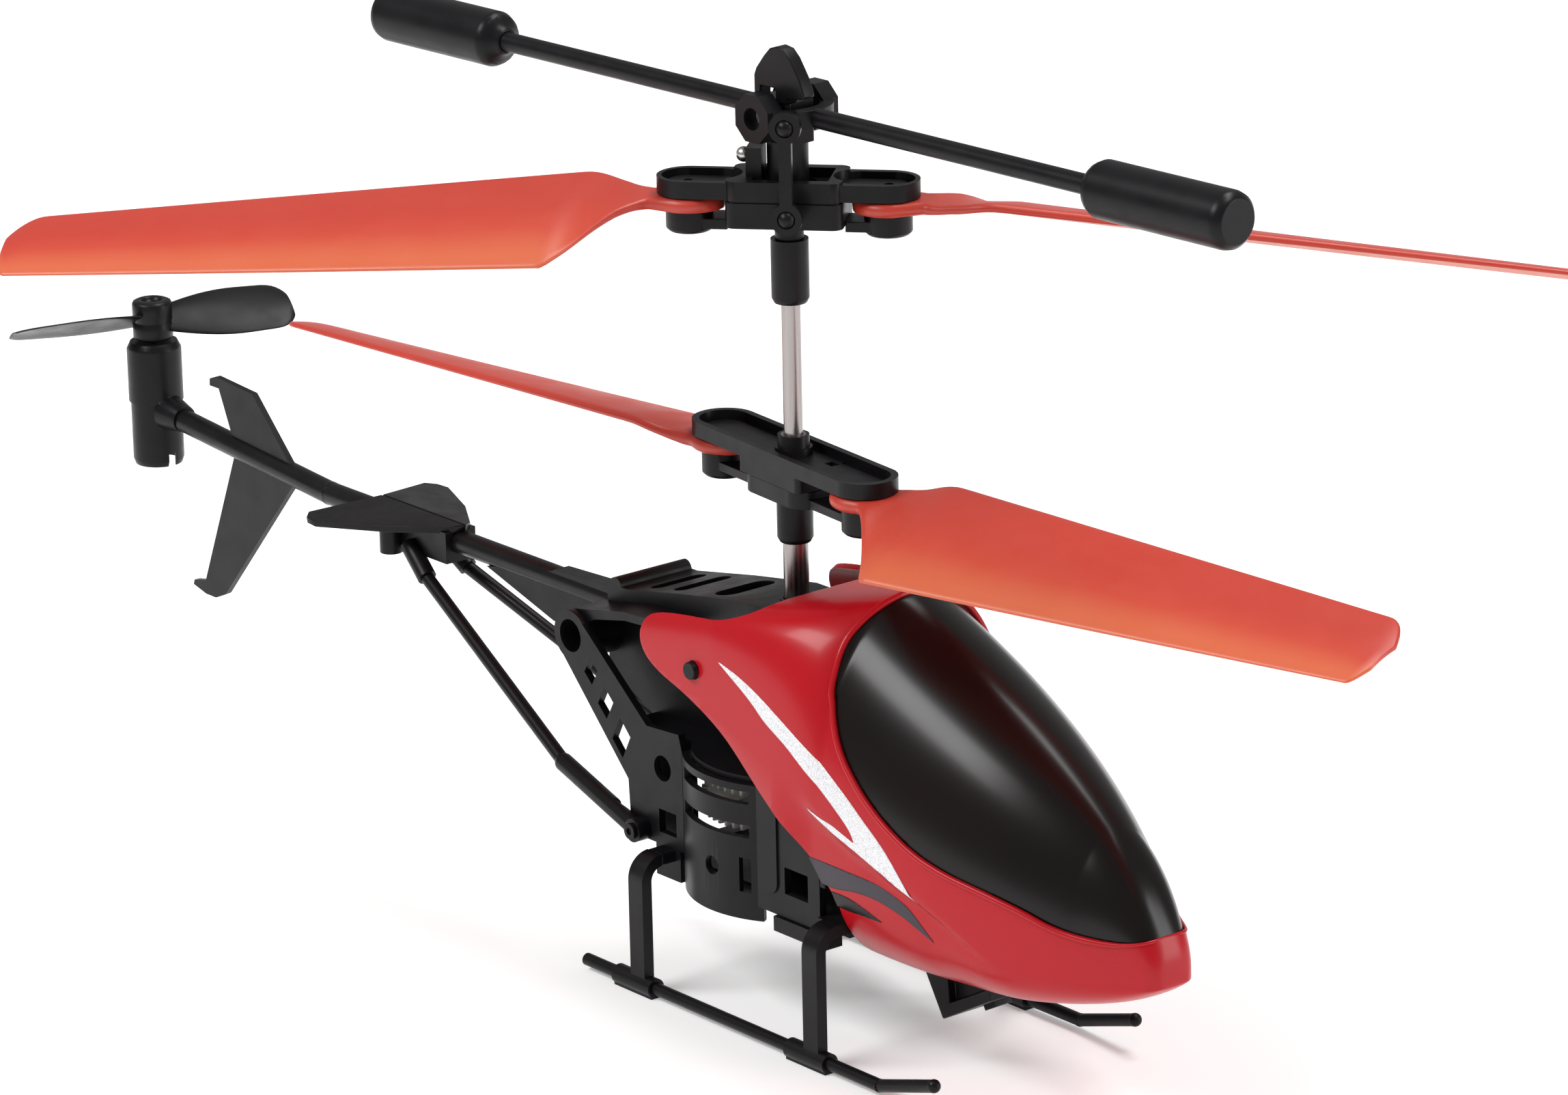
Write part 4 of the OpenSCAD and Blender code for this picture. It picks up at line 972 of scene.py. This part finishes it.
def make_blade(name, joint, azimuth, sag, hand):
    """One main blade with its eye, on its pin, pointing along `azimuth`."""
    pin = Vector(joints[joint]["pos_m"]) / MM
    pin_r = sqrt(pin.x ** 2 + pin.y ** 2)
    radii = blade_stations(pin_r)
    rings = [blade_ring(r, pin_r, sag) for r in radii]
    points, faces = loft(rings)
    vertices = [turned(Vector((p.x, p.y * hand, p.z)), azimuth, pin) for p in points]
    if hand < 0:
        faces = [tuple(reversed(face)) for face in faces]
    piece = add_piece(name + "_moulded", vertices, faces, name, BLADE, (name,))
    mark_painted_glow(piece, radii, len(rings[0]))


LOWER_TURN = radians(-5.5)
UPPER_TURN = radians(41.6)
LOWER_SAG = 0.015
UPPER_SAG = 0.095


def make_blades():
    """The two lower blades, which lag on their pins, and the two upper ones, mirrored."""
    for name, side, lag in (("lower_blade_a", 0, 12), ("lower_blade_b", pi, 9.5)):
        make_blade(name, name + "_fold", LOWER_TURN + side + radians(lag), LOWER_SAG, 1)
    for name, side in (("upper_blade_a", 0), ("upper_blade_b", pi)):
        make_blade(name, name + "_fold", UPPER_TURN + side, UPPER_SAG, -1)


# --------------------------------------------------------------- tail rotor

# The tail rotor, in millimetres from its axis.
TAIL_REACH = 19.6
TAIL_ROOT = 1.6
TAIL_HALF = 4.7
TAIL_THICK = 0.34
TAIL_CUP = 0.3
TAIL_STEPS = 26
TAIL_HUB_R = 2.7
TAIL_TURNS = (radians(71), radians(251))


def tail_ring(share, across=24):
    """One cross-section of a tail blade, a blunt paddle, at a share of its length."""
    fan = 0.5 + 0.5 * sin(pi / 2 * min(share / 0.62, 1))
    tip = sqrt(1 - 0.85 * max((share - 0.78) / 0.22, 0) ** 3)
    half = TAIL_HALF * fan * tip
    pitch = radians(32 - 9 * share)
    x = TAIL_ROOT + (TAIL_REACH - TAIL_ROOT) * share
    thick = TAIL_THICK * (1 - 0.25 * share) * max(tip, 0.3)
    ring = []
    for k in range(across):
        turn = 2 * pi * k / across
        v = half * cos(turn)
        w = thick * sin(turn) + TAIL_CUP * (1 - (v / half) ** 2) * fan
        ring.append(Vector((x, v * cos(pitch) - w * sin(pitch), v * sin(pitch) + w * cos(pitch))))
    return ring


def tail_hub(centre, base, top):
    """The tail rotor's hub: a drum with a groove round it and a dished top."""
    r = TAIL_HUB_R
    profile = [
        (0, base), (r - 0.3, base), (r, base + 0.3), (r, base + 2.2), (r - 0.12, base + 2.35),
        (r - 0.12, base + 2.6), (r, base + 2.75), (r, top - 0.5), (r - 0.15, top - 0.2),
        (r - 0.6, top), (1.5, top), (1.3, top - 0.2), (1.25, top - 0.5), (0, top - 0.5),
    ]
    return lathe(profile, centre)


def tail_blade(azimuth, centre):
    """One tail blade, pointing along `azimuth`."""
    rings = []
    for i in range(TAIL_STEPS + 1):
        share = 0.02 + 0.97 * (0.5 - 0.5 * cos(pi * i / TAIL_STEPS))
        rings.append([turned(point, azimuth, centre) for point in tail_ring(share)])
    return loft(rings)


def make_tail_rotor():
    """The tail rotor in one piece, on top of the tail motor housing."""
    centre = Vector(joints["tail_rotor_spin"]["pos_m"]) / MM
    base = box_mm("tail_motor_housing")[1].z + 0.3
    top = box_mm("tail_rotor")[1].z
    blade_centre = Vector((centre.x, centre.y, base + 2.5))
    blades = [tail_blade(azimuth, blade_centre) for azimuth in TAIL_TURNS]
    vertices, faces = join_meshes(tail_hub(centre, base, top), *blades)
    add_piece(
        "tail_rotor_moulded", vertices, faces, "tail_rotor", BLACK, ("tail_rotor",),
    )


# ------------------------------------------------------------ CAD materials

# Black nodes by the width of their rounded edges, in millimetres.
SOFTENED = {
    0.2: (
        "main_frame", "side_plate_right", "side_plate_left", "boom_socket", "switch_housing",
        "rear_leg_right", "rear_leg_left", "front_leg_right", "front_leg_left", "rear_cross_bar",
        "front_cross_bar", "lower_hub", "blade_holder", "head_cap", "battery_tray", "lower_deck",
    ),
    0.12: (
        "canopy_pegs", "stabilizer", "stabilizer_clamp", "tail_fin", "strut_right", "strut_left",
        "tail_motor_housing", "strut_screws", "upper_bearing", "skid_right", "skid_left",
        "lower_hub_arm", "holder_arm", "rotor_head", "flybar", "flybar_weights", "link_right",
        "link_left",
    ),
}
# Nodes that keep their CAD shape, with their looks.
FINISHES = {
    "tail_boom": BOOM, "lower_bearing": BRASS, "front_motor": MOTOR,
    "rear_motor": MOTOR, "tail_motor": MOTOR, "battery": FOIL, "circuit_board": BOARD,
    "board_chips": CHIP, "switch_slider": BLACK, "frame_screws": PLATED, "holder_screw": PLATED,
    "outer_shaft": STEEL, "inner_shaft": STEEL, "outer_gear": WHITE, "inner_gear": WHITE,
    "flybar_pin": PLATED, "holder_pin": PLATED, "front_pinion": BRASS, "rear_pinion": BRASS,
}


def finish_cad_nodes():
    """Round the edges of the black parts and give the other CAD nodes their looks."""
    for width, names in SOFTENED.items():
        for node in names:
            soften(node, width)
    for node, material in FINISHES.items():
        mesh = frame["nodes"][node].data
        mesh.materials.clear()
        mesh.materials.append(material)


add_camera()
add_stage()
finish_cad_nodes()
make_canopy()
make_windshield()
make_rim()
make_stickers()
make_blades()
make_tail_rotor()
